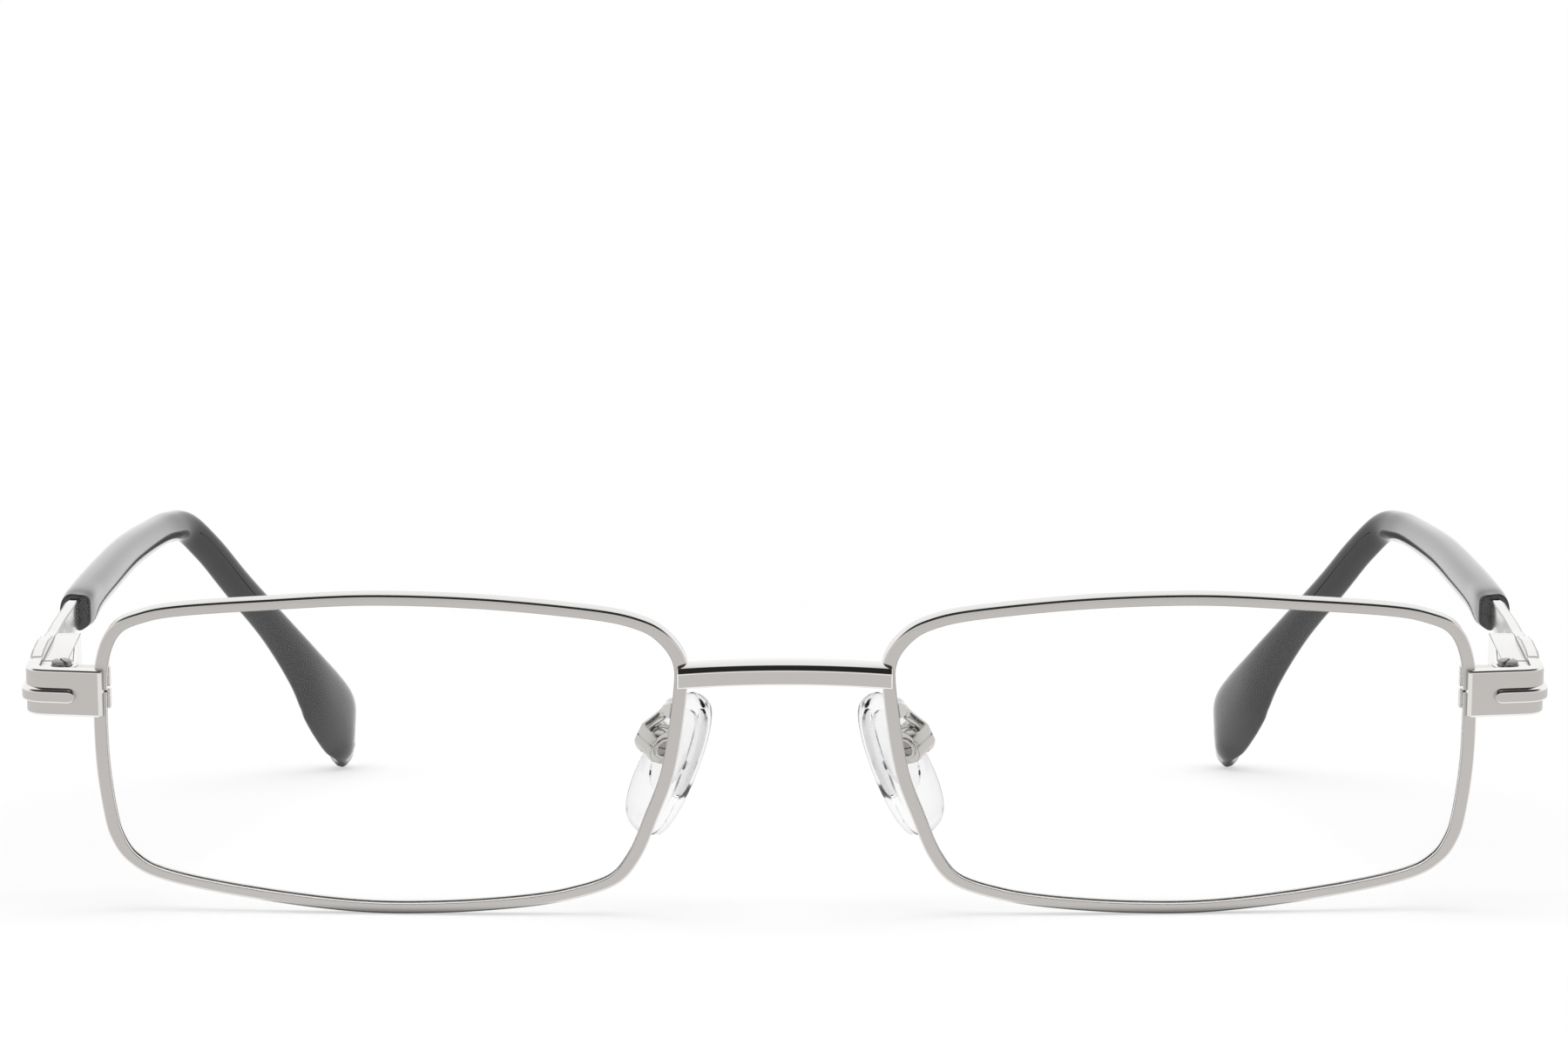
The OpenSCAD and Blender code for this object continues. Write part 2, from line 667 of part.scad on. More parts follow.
// Wire that carries the pad box, from the back of the rim in one bow
module pad_arm() {
    root = [arm_root_x, back_y(arm_root_x, arm_root_z) - pad_wire_r / 2, arm_root_z];
    run = [box_x - arm_root_x, box_y - root[1], -arm_bow];
    last = [box_x + 0.35 * box_t, box_y - 0.2 * box_w, box_z + 0.48 * box_h];
    wire = 2 * pad_wire_r;
    bends = concat(
        [for (s = arm_shares) [for (i = [0:2]) root[i] + s[i] * run[i]]],
        [last]);
    route = open_curve([for (p = bends) [p[0], p[1], p[2], wire, wire]], 3);
    section = [for (k = [0:7]) [cos(360 * k / 8), sin(360 * k / 8)]];
    color("silver") difference() {
        swept(route, section);
        curved(rim_outer, base_r, rim_back_r);
        at_pad() box_stock();
    }
}

module box_stock() {
    intersection() {
        translate([-box_t / 2, -box_w / 2, -box_h / 2]) cube([box_t, box_w, box_h]);
        translate([-0.2 * box_t, 0, 0]) rod_y(0.6 * box_h, -box_w, box_w);
    }
}

module pad_box() {
    color("silver") at_pad() difference() {
        box_stock();
        translate([-box_t, -box_slot / 2, -box_h])
            cube([1.5 * box_t - box_floor, box_slot, 2 * box_h]);
        rod_y(pad_screw_r, -box_w, box_w);
        rod_y(pad_head_r, -box_w, -box_w / 2 + pad_head_h);
    }
}

module pad_screw() {
    color("gray") at_pad() difference() {
        union() {
            rod_y(pad_screw_r, -box_w / 2, box_w / 2);
            rod_y(pad_head_r, -box_w / 2, -box_w / 2 + pad_head_h);
        }
        translate([-pad_head_r - over, -box_w / 2 - over, -slot_w / 2])
            cube([2 * pad_head_r + 2 * over, over + slot_depth, slot_w]);
    }
}

// The pad's hard core: an oval plate that the pad is moulded on, with a stem up to the box
module insert_body() {
    translate([plate_x - insert_t, 0, -pad_drop]) rotate([0, 90, 0])
        scale([insert_share * pad_len / pad_w, insert_share, 1]) cylinder(r = pad_w / 2, h = insert_t);
    translate([plate_x, -boss_w / 2, -stem_h / 2]) cube([-plate_x, boss_w, stem_h]);
}

module pad_insert() {
    color("white") at_pad() difference() {
        union() {
            rod_y(boss_r, -boss_w / 2, boss_w / 2);
            insert_body();
        }
        rod_y(pad_screw_r + pad_play, -box_w, box_w);
    }
}

// Soft clear pad: a drop-shaped cushion, fuller towards its lower end
module nose_pad() {
    rings = [for (i = [0:pad_rows]) let (
            a = 180 * i / pad_rows,
            s = -cos(a),
            t = pad_t * max(pad_blunt_share, sqrt(sin(a))),
            w = pad_w * max(pad_end_share, pow(sin(a), 0.75)) * (1 - pad_taper_share * s))
        [for (k = [0:pad_sides - 1]) let (b = 360 * k / pad_sides)
            [plate_x - insert_t / 2 + t * cos(b) / 2, w * sin(b) / 2, s * pad_len / 2 - pad_drop]]];
    color([0.93, 0.95, 0.95, 0.5]) at_pad() difference() {
        skinned(rings);
        insert_body();
    }
}

side(true) rim();  // rim_left
side(false) rim();  // rim_right
side(true) lens();  // lens_left
side(false) lens();  // lens_right
bridge();
side(true) end_piece();  // end_piece_left
side(false) end_piece();  // end_piece_right
side(true) closing_block_upper();  // closing_block_upper_left
side(false) closing_block_upper();  // closing_block_upper_right
side(true) closing_block_lower();  // closing_block_lower_left
side(false) closing_block_lower();  // closing_block_lower_right
side(true) closing_screw();  // closing_screw_left
side(false) closing_screw();  // closing_screw_right
side(true) hinge_ears();  // hinge_ears_left
side(false) hinge_ears();  // hinge_ears_right
side(true) hinge_screw();  // hinge_screw_left
side(false) hinge_screw();  // hinge_screw_right
side(true) hinge_tongue();  // hinge_tongue_left
side(false) hinge_tongue();  // hinge_tongue_right
side(true) slide_nut();  // slide_nut_left
side(false) slide_nut();  // slide_nut_right
side(true) hinge_spring();  // hinge_spring_left
side(false) hinge_spring();  // hinge_spring_right
side(true) spring_housing();  // spring_housing_left
side(false) spring_housing();  // spring_housing_right
side(true) temple_arm();  // temple_arm_left
side(false) temple_arm();  // temple_arm_right
side(true) temple_sleeve();  // temple_sleeve_left
side(false) temple_sleeve();  // temple_sleeve_right
side(true) pad_arm();  // pad_arm_left
side(false) pad_arm();  // pad_arm_right
side(true) pad_box();  // pad_box_left
side(false) pad_box();  // pad_box_right
side(true) pad_screw();  // pad_screw_left
side(false) pad_screw();  // pad_screw_right
side(true) pad_insert();  // pad_insert_left
side(false) pad_insert();  // pad_insert_right
side(true) nose_pad();  // nose_pad_left
side(false) nose_pad();  // nose_pad_right
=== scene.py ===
"""Looks for a pair of rectangular metal eyeglasses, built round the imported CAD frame.

Lengths in the classes are millimetres in the frame that each class names. Only the last step, a
Placement, turns them into metres in the row frame.
"""

import json
import logging
import math
from dataclasses import dataclass, field
from enum import Enum
from functools import cache

import bmesh
import bpy
from mathutils import Matrix, Vector

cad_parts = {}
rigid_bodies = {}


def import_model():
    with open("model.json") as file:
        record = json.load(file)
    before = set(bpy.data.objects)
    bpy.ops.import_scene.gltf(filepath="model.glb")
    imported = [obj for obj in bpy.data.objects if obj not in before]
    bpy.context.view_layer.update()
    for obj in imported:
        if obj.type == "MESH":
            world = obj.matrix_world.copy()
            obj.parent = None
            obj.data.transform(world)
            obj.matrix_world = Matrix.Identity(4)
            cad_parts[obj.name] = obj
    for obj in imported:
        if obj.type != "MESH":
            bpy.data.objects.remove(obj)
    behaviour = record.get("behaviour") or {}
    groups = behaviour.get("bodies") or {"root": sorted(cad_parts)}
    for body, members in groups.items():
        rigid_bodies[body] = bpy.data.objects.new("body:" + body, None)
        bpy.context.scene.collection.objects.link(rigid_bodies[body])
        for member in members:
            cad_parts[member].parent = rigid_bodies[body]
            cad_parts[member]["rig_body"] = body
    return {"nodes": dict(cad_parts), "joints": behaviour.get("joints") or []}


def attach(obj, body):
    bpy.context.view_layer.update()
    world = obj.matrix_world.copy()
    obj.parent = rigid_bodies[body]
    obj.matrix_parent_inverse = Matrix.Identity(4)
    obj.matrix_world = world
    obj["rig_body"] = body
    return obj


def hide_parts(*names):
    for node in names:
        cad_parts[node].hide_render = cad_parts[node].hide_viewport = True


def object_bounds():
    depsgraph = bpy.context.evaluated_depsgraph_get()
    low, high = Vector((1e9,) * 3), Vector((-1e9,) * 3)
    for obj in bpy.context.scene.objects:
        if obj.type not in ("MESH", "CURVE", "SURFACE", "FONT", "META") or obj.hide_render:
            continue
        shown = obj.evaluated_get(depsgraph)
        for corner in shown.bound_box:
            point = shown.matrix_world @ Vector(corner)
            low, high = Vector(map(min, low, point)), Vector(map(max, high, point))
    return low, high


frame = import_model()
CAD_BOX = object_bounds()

Node = bpy.types.Node
Socket = bpy.types.NodeSocket
Object = bpy.types.Object
Rings = list[list[Vector]]
Pair = tuple[float, float]

LOG = logging.getLogger("eyeglasses")
MM = 0.001
UP = Vector((0, 0, 1))
WHITE = (1.0, 1.0, 1.0, 1.0)
AO_SAMPLES = 8
BUMP_DEPTH = 0.00001
# Openness of the surroundings over which the painted shade in gaps fades out.
GAP_SHADE_OPENNESS = (0.15, 0.75)
# Facing over which the painted shade outline of clear solids fades in.
OUTLINE_SHADE_FACING = (0.10, 0.95)
FINE_LINES, BROAD_LINES, FINE_SHARE = (0.35, 22.0, 22.0), (0.12, 2.2, 2.2), 0.65
SMEAR_SCALE, SPECK_SCALE, SMEAR_SHARE = 130.0, 900.0, 0.8
# Shares of its radius at which a rounded end has a ring, from the tip.
ROUND_END = (0.02, 0.12, 0.3, 0.55, 0.8, 1.0)


class Side(Enum):
    """The wearer's side of a piece; the right side is the left one mirrored."""

    LEFT = "left"
    RIGHT = "right"

    @property
    def mirror(self) -> Matrix:
        """Matrix that carries the left side's shape to this side."""
        return Matrix.Diagonal((1 if self is Side.LEFT else -1, 1, 1, 1))


class Face(Enum):
    """Which finish a band of a section takes: a material slot of the piece."""

    SATIN = 0
    POLISHED = 1
    # Rims and temples give their roundings the darker plate of painted shade.
    ROUNDED = 2


class Graph:
    """A node tree with short calls to add nodes and links."""

    def __init__(self, tree: bpy.types.NodeTree) -> None:
        """Wraps the tree that nodes are added to."""
        self.tree = tree

    def fill(self, node: Node, inputs: dict[str | int, object]) -> Node:
        """Gives a node's inputs their values.

        Args:
            node: the node.
            inputs: a constant or another node's output, by the input's name or number.

        Returns:
            The node.
        """
        for key, value in inputs.items():
            if isinstance(value, Socket):
                self.tree.links.new(value, node.inputs[key])
            else:
                node.inputs[key].default_value = value
        return node

    def add(self, kind: str, inputs: dict[str | int, object] | None = None, **settings: object) -> Node:
        """Adds a node.

        Args:
            kind: Blender's node type without its ShaderNode prefix, or a group's input or output.
            inputs: values of its inputs.
            settings: attributes of the node.

        Returns:
            The new node.
        """
        node = self.tree.nodes.new(kind if kind.startswith("NodeGroup") else f"ShaderNode{kind}")
        for key, value in settings.items():
            setattr(node, key, value)
        return self.fill(node, inputs or {})

    def math(self, operation: str, *values: object) -> Socket:
        """Output of a Math node with a number or an output for each input."""
        return self.add("Math", dict(enumerate(values)), operation=operation).outputs[0]

    def inverted(self, value: Socket) -> Socket:
        """One minus a value."""
        return self.math("SUBTRACT", 1.0, value)

    def noise(self, vector: Socket, scale: float, detail: float) -> Socket:
        """Output of a noise texture read at a vector, about 0 to 1."""
        return self.add("TexNoise", {"Vector": vector, "Scale": scale, "Detail": detail}).outputs[0]

    def scaled(self, vector: object, scale: object) -> Socket:
        """Scales a vector or a colour.

        Args:
            vector: a constant or an output.
            scale: a number's output, or a tuple with a factor for each axis.

        Returns:
            The scaled vector.
        """
        if isinstance(scale, tuple):
            return self.add("VectorMath", {0: vector, 1: scale}, operation="MULTIPLY").outputs[0]
        return self.add("VectorMath", {0: vector, "Scale": scale}, operation="SCALE").outputs[0]

    def blended(self, first: Socket, second: Socket, share: float) -> Socket:
        """A share of one value plus the rest of another."""
        return self.math("ADD", self.math("MULTIPLY", first, share), self.math("MULTIPLY", second, 1 - share))

    def swung(self, base: object, value: Socket, reach: Socket) -> Socket:
        """A number that swings round base as a value of 0 to 1 swings round one half."""
        swing = self.math("SUBTRACT", value, 0.5)
        return self.math("ADD", base, self.math("MULTIPLY", swing, reach))

    def ramp(self, value: Socket, given: Pair, made: Pair) -> Socket:
        """A smooth step from made[0] to made[1], as a value goes from given[0] to given[1]."""
        ends = dict(zip(("From Min", "From Max", "To Min", "To Max"), (*given, *made)))
        return self.add("MapRange", {"Value": value, **ends}, interpolation_type="SMOOTHSTEP").outputs[0]

    def openness(self, reach: float) -> Socket:
        """How open the surroundings are within a reach in metres, 0 to 1."""
        return self.add("AmbientOcclusion", {"Distance": reach}, samples=AO_SAMPLES).outputs["AO"]

    def bumped(self, height: Socket, strength: float) -> Socket:
        """Normal of a surface raised by a height."""
        inputs = {"Height": height, "Strength": strength, "Distance": BUMP_DEPTH}
        return self.add("Bump", inputs).outputs[0]

    def show(self, end: str, share: Socket, first: Node, second: Node) -> None:
        """Gives the tree's output node a mix of two shaders.

        Args:
            end: name of the output node.
            share: the second shader's share.
            first: the first shader.
            second: the second shader.
        """
        mix = self.add("MixShader", {"Fac": share, 1: first.outputs[0], 2: second.outputs[0]})
        self.fill(self.tree.nodes[end], {"Surface": mix.outputs[0]})


class SharedEffects:
    """Shader node groups that more than one finish uses, each made once."""

    @staticmethod
    def started(name: str, takes: dict[str, float | None], gives: dict[str, str]) -> tuple[Graph, Node, Node]:
        """Starts a group.

        Args:
            name: the group's name.
            takes: default of each float input, and None for a colour input.
            gives: kind of each output.

        Returns:
            The group's graph, its input node and its output node.
        """
        tree = bpy.data.node_groups.new(name, "ShaderNodeTree")
        for label, value in takes.items():
            kind = "NodeSocketColor" if value is None else "NodeSocketFloat"
            made = tree.interface.new_socket(name=label, in_out="INPUT", socket_type=kind)
            if value is not None:
                made.default_value = value
        for label, kind in gives.items():
            tree.interface.new_socket(name=label, in_out="OUTPUT", socket_type=f"NodeSocket{kind}")
        graph = Graph(tree)
        return graph, graph.add("NodeGroupInput"), graph.add("NodeGroupOutput")

    @staticmethod
    @cache
    def brushed() -> bpy.types.NodeTree:
        """Fine lines along the grain, from the "grain" attribute, which is in millimetres.

        Returns:
            A group that makes Colour, Roughness and Height of Colour, Tone, Roughness and Contrast.
        """
        graph, given, result = SharedEffects.started(
            "brushed lines", {"Colour": None, "Tone": 0.06, "Roughness": 0.3, "Contrast": 0.1},
            {"Colour": "Color", "Roughness": "Float", "Height": "Float"})
        takes = given.outputs
        grain = graph.add("Attribute", attribute_name="grain").outputs["Vector"]
        fine = graph.noise(graph.scaled(grain, FINE_LINES), 1.0, 3.0)
        broad = graph.noise(graph.scaled(grain, BROAD_LINES), 1.0, 2.0)
        lines = graph.blended(fine, broad, FINE_SHARE)
        tone = graph.swung(1.0, lines, takes["Tone"])
        graph.fill(result, {"Colour": graph.scaled(takes["Colour"], tone), "Height": lines,
                            "Roughness": graph.swung(takes["Roughness"], lines, takes["Contrast"])})
        return graph.tree

    @staticmethod
    @cache
    def handled() -> bpy.types.NodeTree:
        """Faint smears and specks of handling, in object space.

        Returns:
            A group that makes Height and Roughness of Scale, Roughness and Contrast.
        """
        graph, given, result = SharedEffects.started(
            "handling marks", {"Scale": 1.0, "Roughness": 0.1, "Contrast": 0.1},
            {"Height": "Float", "Roughness": "Float"})
        takes = given.outputs
        place = graph.scaled(graph.add("TexCoord").outputs["Object"], takes["Scale"])
        smear = graph.noise(place, SMEAR_SCALE, 4.0)
        mask = graph.blended(smear, graph.noise(place, SPECK_SCALE, 2.0), SMEAR_SHARE)
        graph.fill(result, {"Height": smear,
                            "Roughness": graph.swung(takes["Roughness"], mask, takes["Contrast"])})
        return graph.tree


@dataclass(frozen=True)
class Finish:
    """A finish that is made into one material the first time it is asked for."""

    name: str
    color: tuple[float, float, float]
    roughness: float

    def material(self) -> bpy.types.Material:
        """The finish's material, made once."""
        return bpy.data.materials.get(self.name) or self.make()

    def make(self) -> bpy.types.Material:
        """Makes the material.

        Returns:
            The new material.
        """
        made = bpy.data.materials.new(self.name)
        made.use_nodes = True
        graph = Graph(made.node_tree)
        shader = made.node_tree.nodes["Principled BSDF"]
        graph.fill(shader, {"Base Color": (*self.color, 1.0), "Roughness": self.roughness})
        self.dress(graph, shader)
        return made

    def dress(self, graph: Graph, shader: Node) -> None:
        """Adds what this kind of finish has beyond colour and roughness.

        Args:
            graph: the material's nodes.
            shader: its Principled shader.
        """

    def handled(self, graph: Graph, scale: float, contrast: float) -> Node:
        """Node of the handling marks, at a scale, with roughness that swings by a contrast."""
        inputs = {"Scale": scale, "Roughness": self.roughness, "Contrast": contrast}
        return graph.add("Group", inputs, node_tree=SharedEffects.handled())


@dataclass(frozen=True)
class Metal(Finish):
    """Metal with painted shade in its base colour in gaps between pieces, up to gap millimetres wide."""

    # gap and the tone after it set the reach and depth of the painted shade in gaps.
    gap: float = 0.0
    gap_shade_tone: float = 0.12

    def shade(self, graph: Graph) -> object:
        """The base colour, with painted shade in gaps.

        Args:
            graph: the material's nodes.

        Returns:
            A constant, or an output darkened by painted shade in the gaps.
        """
        if not self.gap:
            return (*self.color, 1.0)
        # Ambient occlusion darkens the base colour in gaps: painted shade.
        tone = graph.ramp(graph.openness(self.gap * MM), GAP_SHADE_OPENNESS, (self.gap_shade_tone, 1.0))
        return graph.scaled(self.color, tone)


@dataclass(frozen=True)
class BrushedMetal(Metal):
    """Plated metal with lines along its length."""

    tone: float = 0.10
    contrast: float = 0.18
    bump: float = 0.12

    def dress(self, graph: Graph, shader: Node) -> None:
        """Adds the brushed lines to colour, roughness and normal; the colour keeps its painted shade in gaps.

        Args:
            graph: the material's nodes.
            shader: its Principled shader.
        """
        lines = graph.add("Group", {
            "Colour": self.shade(graph), "Tone": self.tone, "Roughness": self.roughness,
            "Contrast": self.contrast}, node_tree=SharedEffects.brushed()).outputs
        graph.fill(shader, {"Metallic": 1.0, "Base Color": lines["Colour"], "Roughness": lines["Roughness"],
                            "Normal": graph.bumped(lines["Height"], self.bump)})


@dataclass(frozen=True)
class PolishedMetal(Metal):
    """Bright plated or turned metal with faint handling marks."""

    contrast: float = 0.05
    marks_scale: float = 3.0

    def dress(self, graph: Graph, shader: Node) -> None:
        """Adds the handling marks, and the base colour with its painted shade in gaps."""
        marks = self.handled(graph, self.marks_scale, self.contrast)
        graph.fill(shader, {"Metallic": 1.0, "Base Color": self.shade(graph),
                            "Roughness": marks.outputs["Roughness"]})


@dataclass(frozen=True)
class GlossPlastic(Finish):
    """Polished injection-moulded plastic."""

    coat_rough: float = 0.06
    coat_ior: float = 1.64
    under_gloss: float = 0.06
    contrast: float = 0.10
    bump: float = 0.04

    def dress(self, graph: Graph, shader: Node) -> None:
        """Adds the gloss, its smears and a faint unevenness of the surface.

        Args:
            graph: the material's nodes.
            shader: its Principled shader.
        """
        marks = self.handled(graph, 1.0, self.contrast).outputs
        graph.fill(shader, {"Coat Weight": 1.0, "Coat Roughness": self.coat_rough, "Coat IOR": self.coat_ior,
                            "Specular IOR Level": self.under_gloss, "Roughness": marks["Roughness"],
                            "Normal": graph.bumped(marks["Height"], self.bump)})


@dataclass(frozen=True)
class ClearSolid(Finish):
    """Clear lens plastic or silicone that light passes through."""

    ior: float = 1.5
    shade: float = 0.0
    glint: float = 1.0
    outline_shade_tone: float = 1.0

    def dress(self, graph: Graph, shader: Node) -> None:
        """Adds transmission, light through its shadow and a painted shade outline where it has one.

        Args:
            graph: the material's nodes.
            shader: its Principled shader.
        """
        graph.fill(shader, {"Transmission Weight": 1.0, "IOR": self.ior,
                            "Specular Tint": (self.glint, self.glint, self.glint, 1.0)})
        # Layer Weight darkens the colour towards the outline: painted shade.
        if self.outline_shade_tone < 1.0:
            facing = graph.add("LayerWeight", {"Blend": 0.5}).outputs["Facing"]
            tone = graph.ramp(facing, OUTLINE_SHADE_FACING, (1.0, self.outline_shade_tone))
            graph.fill(shader, {"Base Color": graph.scaled(self.color, tone)})
        left = 1 - self.shade
        clear = graph.add("BsdfTransparent", {"Color": (left, left, left, 1.0)})
        graph.show("Material Output", graph.add("LightPath").outputs["Is Shadow Ray"], shader, clear)


# The gap values paint shade into the base colour in narrow gaps.
SATIN_PLATE = BrushedMetal("satin plate", (0.55, 0.53, 0.51), 0.32, gap=0.22, gap_shade_tone=0.5)
TEMPLE_PLATE = BrushedMetal("temple plate", (0.86, 0.85, 0.84), 0.16, gap=0.6, gap_shade_tone=0.25, tone=0.05,
                            contrast=0.10, bump=0.05)
BLOCK_PLATE = BrushedMetal("block plate", (0.82, 0.80, 0.78), 0.30)
BRIGHT_PLATE = PolishedMetal("bright plate", (0.88, 0.87, 0.85), 0.05, gap=0.8, contrast=0.03)
EDGE_PLATE = PolishedMetal("edge plate", (0.76, 0.75, 0.73), 0.15)
# The box and wire plates are darker copies of the bright plate: painted shade.
BOX_PLATE = PolishedMetal("box plate", (0.56, 0.545, 0.52), 0.10, gap=0.9, gap_shade_tone=0.08)
WIRE_PLATE = PolishedMetal("wire plate", (0.60, 0.585, 0.56), 0.10)
# A darker copy of the plate for roundings and eased edges: painted shade.
PAINTED_SHADE_EDGE_PLATE = PolishedMetal("rounded edge painted shade plate", (0.40, 0.39, 0.375), 0.12)
SCREW_STEEL = PolishedMetal("screw steel", (0.30, 0.29, 0.28), 0.22, contrast=0.12)
SLEEVE_BLACK = GlossPlastic("sleeve black", (0.008, 0.008, 0.009), 0.16)
LENS_CLEAR = ClearSolid("lens clear", (1.0, 1.0, 1.0), 0.0, shade=0.03, glint=0.08)
# The pads' last value sets the depth of their painted shade outline.
PAD_SOFT = ClearSolid("pad silicone", (0.99, 0.99, 0.99), 0.05, 1.34, 0.10, 0.8, 0.55)
PAD_CORE = ClearSolid("pad core", (0.97, 0.97, 0.975), 0.04, 1.15, 0.15, 0.8, 0.35)


def smooth_step(share: float) -> float:
    """A share of 0 to 1, eased at both ends."""
    return share * share * (3 - 2 * share)


def angles(count: int) -> list[float]:
    """Angles that divide a full turn."""
    return [2 * math.pi * k / count for k in range(count)]


def heading(line: list[Vector], i: int) -> Vector:
    """Direction of an open line at its point i."""
    return (line[min(i + 1, len(line) - 1)] - line[max(i - 1, 0)]).normalized()


def across(way: Vector) -> tuple[Vector, Vector]:
    """Directions outward and up, at right angles to a direction of travel."""
    out = way.cross(UP).normalized()
    return out, out.cross(way)


def catmull(a: Vector, b: Vector, c: Vector, d: Vector, t: float) -> Vector:
    """Point at share t between b and c on a smooth curve through a, b, c and d."""
    return (2 * b + (c - a) * t + (2 * a - 5 * b + 4 * c - d) * t * t
            + (3 * b - a - 3 * c + d) * t * t * t) / 2


def smooth(points: list[Vector], steps: int, closed: bool) -> list[Vector]:
    """Smooth curve through points.

    Args:
        points: vectors of any one length.
        steps: new points for each given one.
        closed: whether the last point joins the first.

    Returns:
        The curve's points, the given ones among them.
    """
    if closed:
        padded = [points[-1], *points, points[0], points[1]]
    else:
        padded = [2 * points[0] - points[1], *points, 2 * points[-1] - points[-2]]
    curve = [catmull(*padded[i:i + 4], k / steps) for i in range(len(padded) - 3) for k in range(steps)]
    return curve if closed else [*curve, points[-1]]


def eased_section(corners: list[tuple[float, float, float]], flats: list[Face],
                  rounded: dict[int, Face] | None = None, steps: int = 4) -> tuple[list[Vector], list[Face]]:
    """Rounds each corner of a closed section.

    Args:
        corners: two coordinates and a rounding radius for each corner.
        flats: the finish of the flat that follows each corner.
        rounded: the finish of a corner's rounding, by the corner's number, where it isn't polished.
        steps: bands in each rounding.

    Returns:
        The section's points, and the finish of the band after each point.
    """
    rounded = rounded or {}
    points, bands = [], []
    for i, (x, y, radius) in enumerate(corners):
        here = Vector((x, y))
        before, after = Vector(corners[i - 1][:2]), Vector(corners[(i + 1) % len(corners)][:2])
        if radius <= 0:
            points.append(here)
            bands.append(flats[i])
            continue
        start = here + radius * (before - here).normalized()
        end = here + radius * (after - here).normalized()
        for k in range(steps + 1):
            t = k / steps
            w = 2 ** -0.5 * 2 * t * (1 - t)
            total = (1 - t) ** 2 + w + t * t
            points.append(((1 - t) ** 2 * start + w * here + t * t * end) / total)
            bands.append(rounded.get(i, Face.POLISHED) if k < steps else flats[i])
    return points, bands


@dataclass
class Placement:
    """Where a shape drawn in millimetres goes: its frame, side, body and the nodes it stands for."""

    local: Matrix
    side: Side
    body: str
    replaces: tuple[str, ...]
    slot: str

    @property
    def world(self) -> Matrix:
        """Matrix from millimetres in the local frame to metres in the row frame."""
        return self.side.mirror @ Matrix.Scale(MM, 4) @ self.local


def in_scene(name: str, data: bpy.types.ID) -> Object:
    """Adds an object to the scene.

    Args:
        name: its name.
        data: its mesh, lamp or camera.

    Returns:
        The object.
    """
    made = bpy.data.objects.new(name, data)
    bpy.context.scene.collection.objects.link(made)
    return made


def ease_edges(work: bmesh.types.BMesh, width: float, least: float, slot: int) -> None:
    """Bevels the sharp edges of a mesh under work.

    Args:
        work: the mesh under work.
        width: width of the bevel, in millimetres.
        least: least angle of an edge that it takes, in degrees.
        slot: material slot of the bevel, or -1 to take its neighbours'.
    """
    edges = [e for e in work.edges
             if len(e.link_faces) == 2 and e.calc_face_angle(0) > math.radians(least)]
    bmesh.ops.bevel(work, geom=edges, offset=width * MM, segments=3, profile=0.5, affect="EDGES",
                    clamp_overlap=True, material=slot)


def finished(mesh: bpy.types.Mesh, work: bmesh.types.BMesh, place: Placement, materials: list[Finish],
             sharp: float) -> Object:
    """Makes a piece of a mesh under work, attaches it to its body and hides the nodes that it stands for.

    Args:
        mesh: the mesh, whose name the piece takes.
        work: its faces under work, which are freed.
        place: the piece's body and the nodes that it stands for; its slot is not used.
        materials: the finish of each Face, in order.
        sharp: edges of a greater angle, in degrees, stay sharp.

    Returns:
        The piece.
    """
    mesh.materials.clear()
    for finish in materials:
        mesh.materials.append(finish.material())
    work.to_mesh(mesh)
    work.free()
    mesh.shade_smooth()
    mesh.set_sharp_from_angle(angle=math.radians(sharp))
    made = in_scene(mesh.name, mesh)
    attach(made, place.body)
    if place.replaces:
        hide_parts(*place.replaces)
    return made


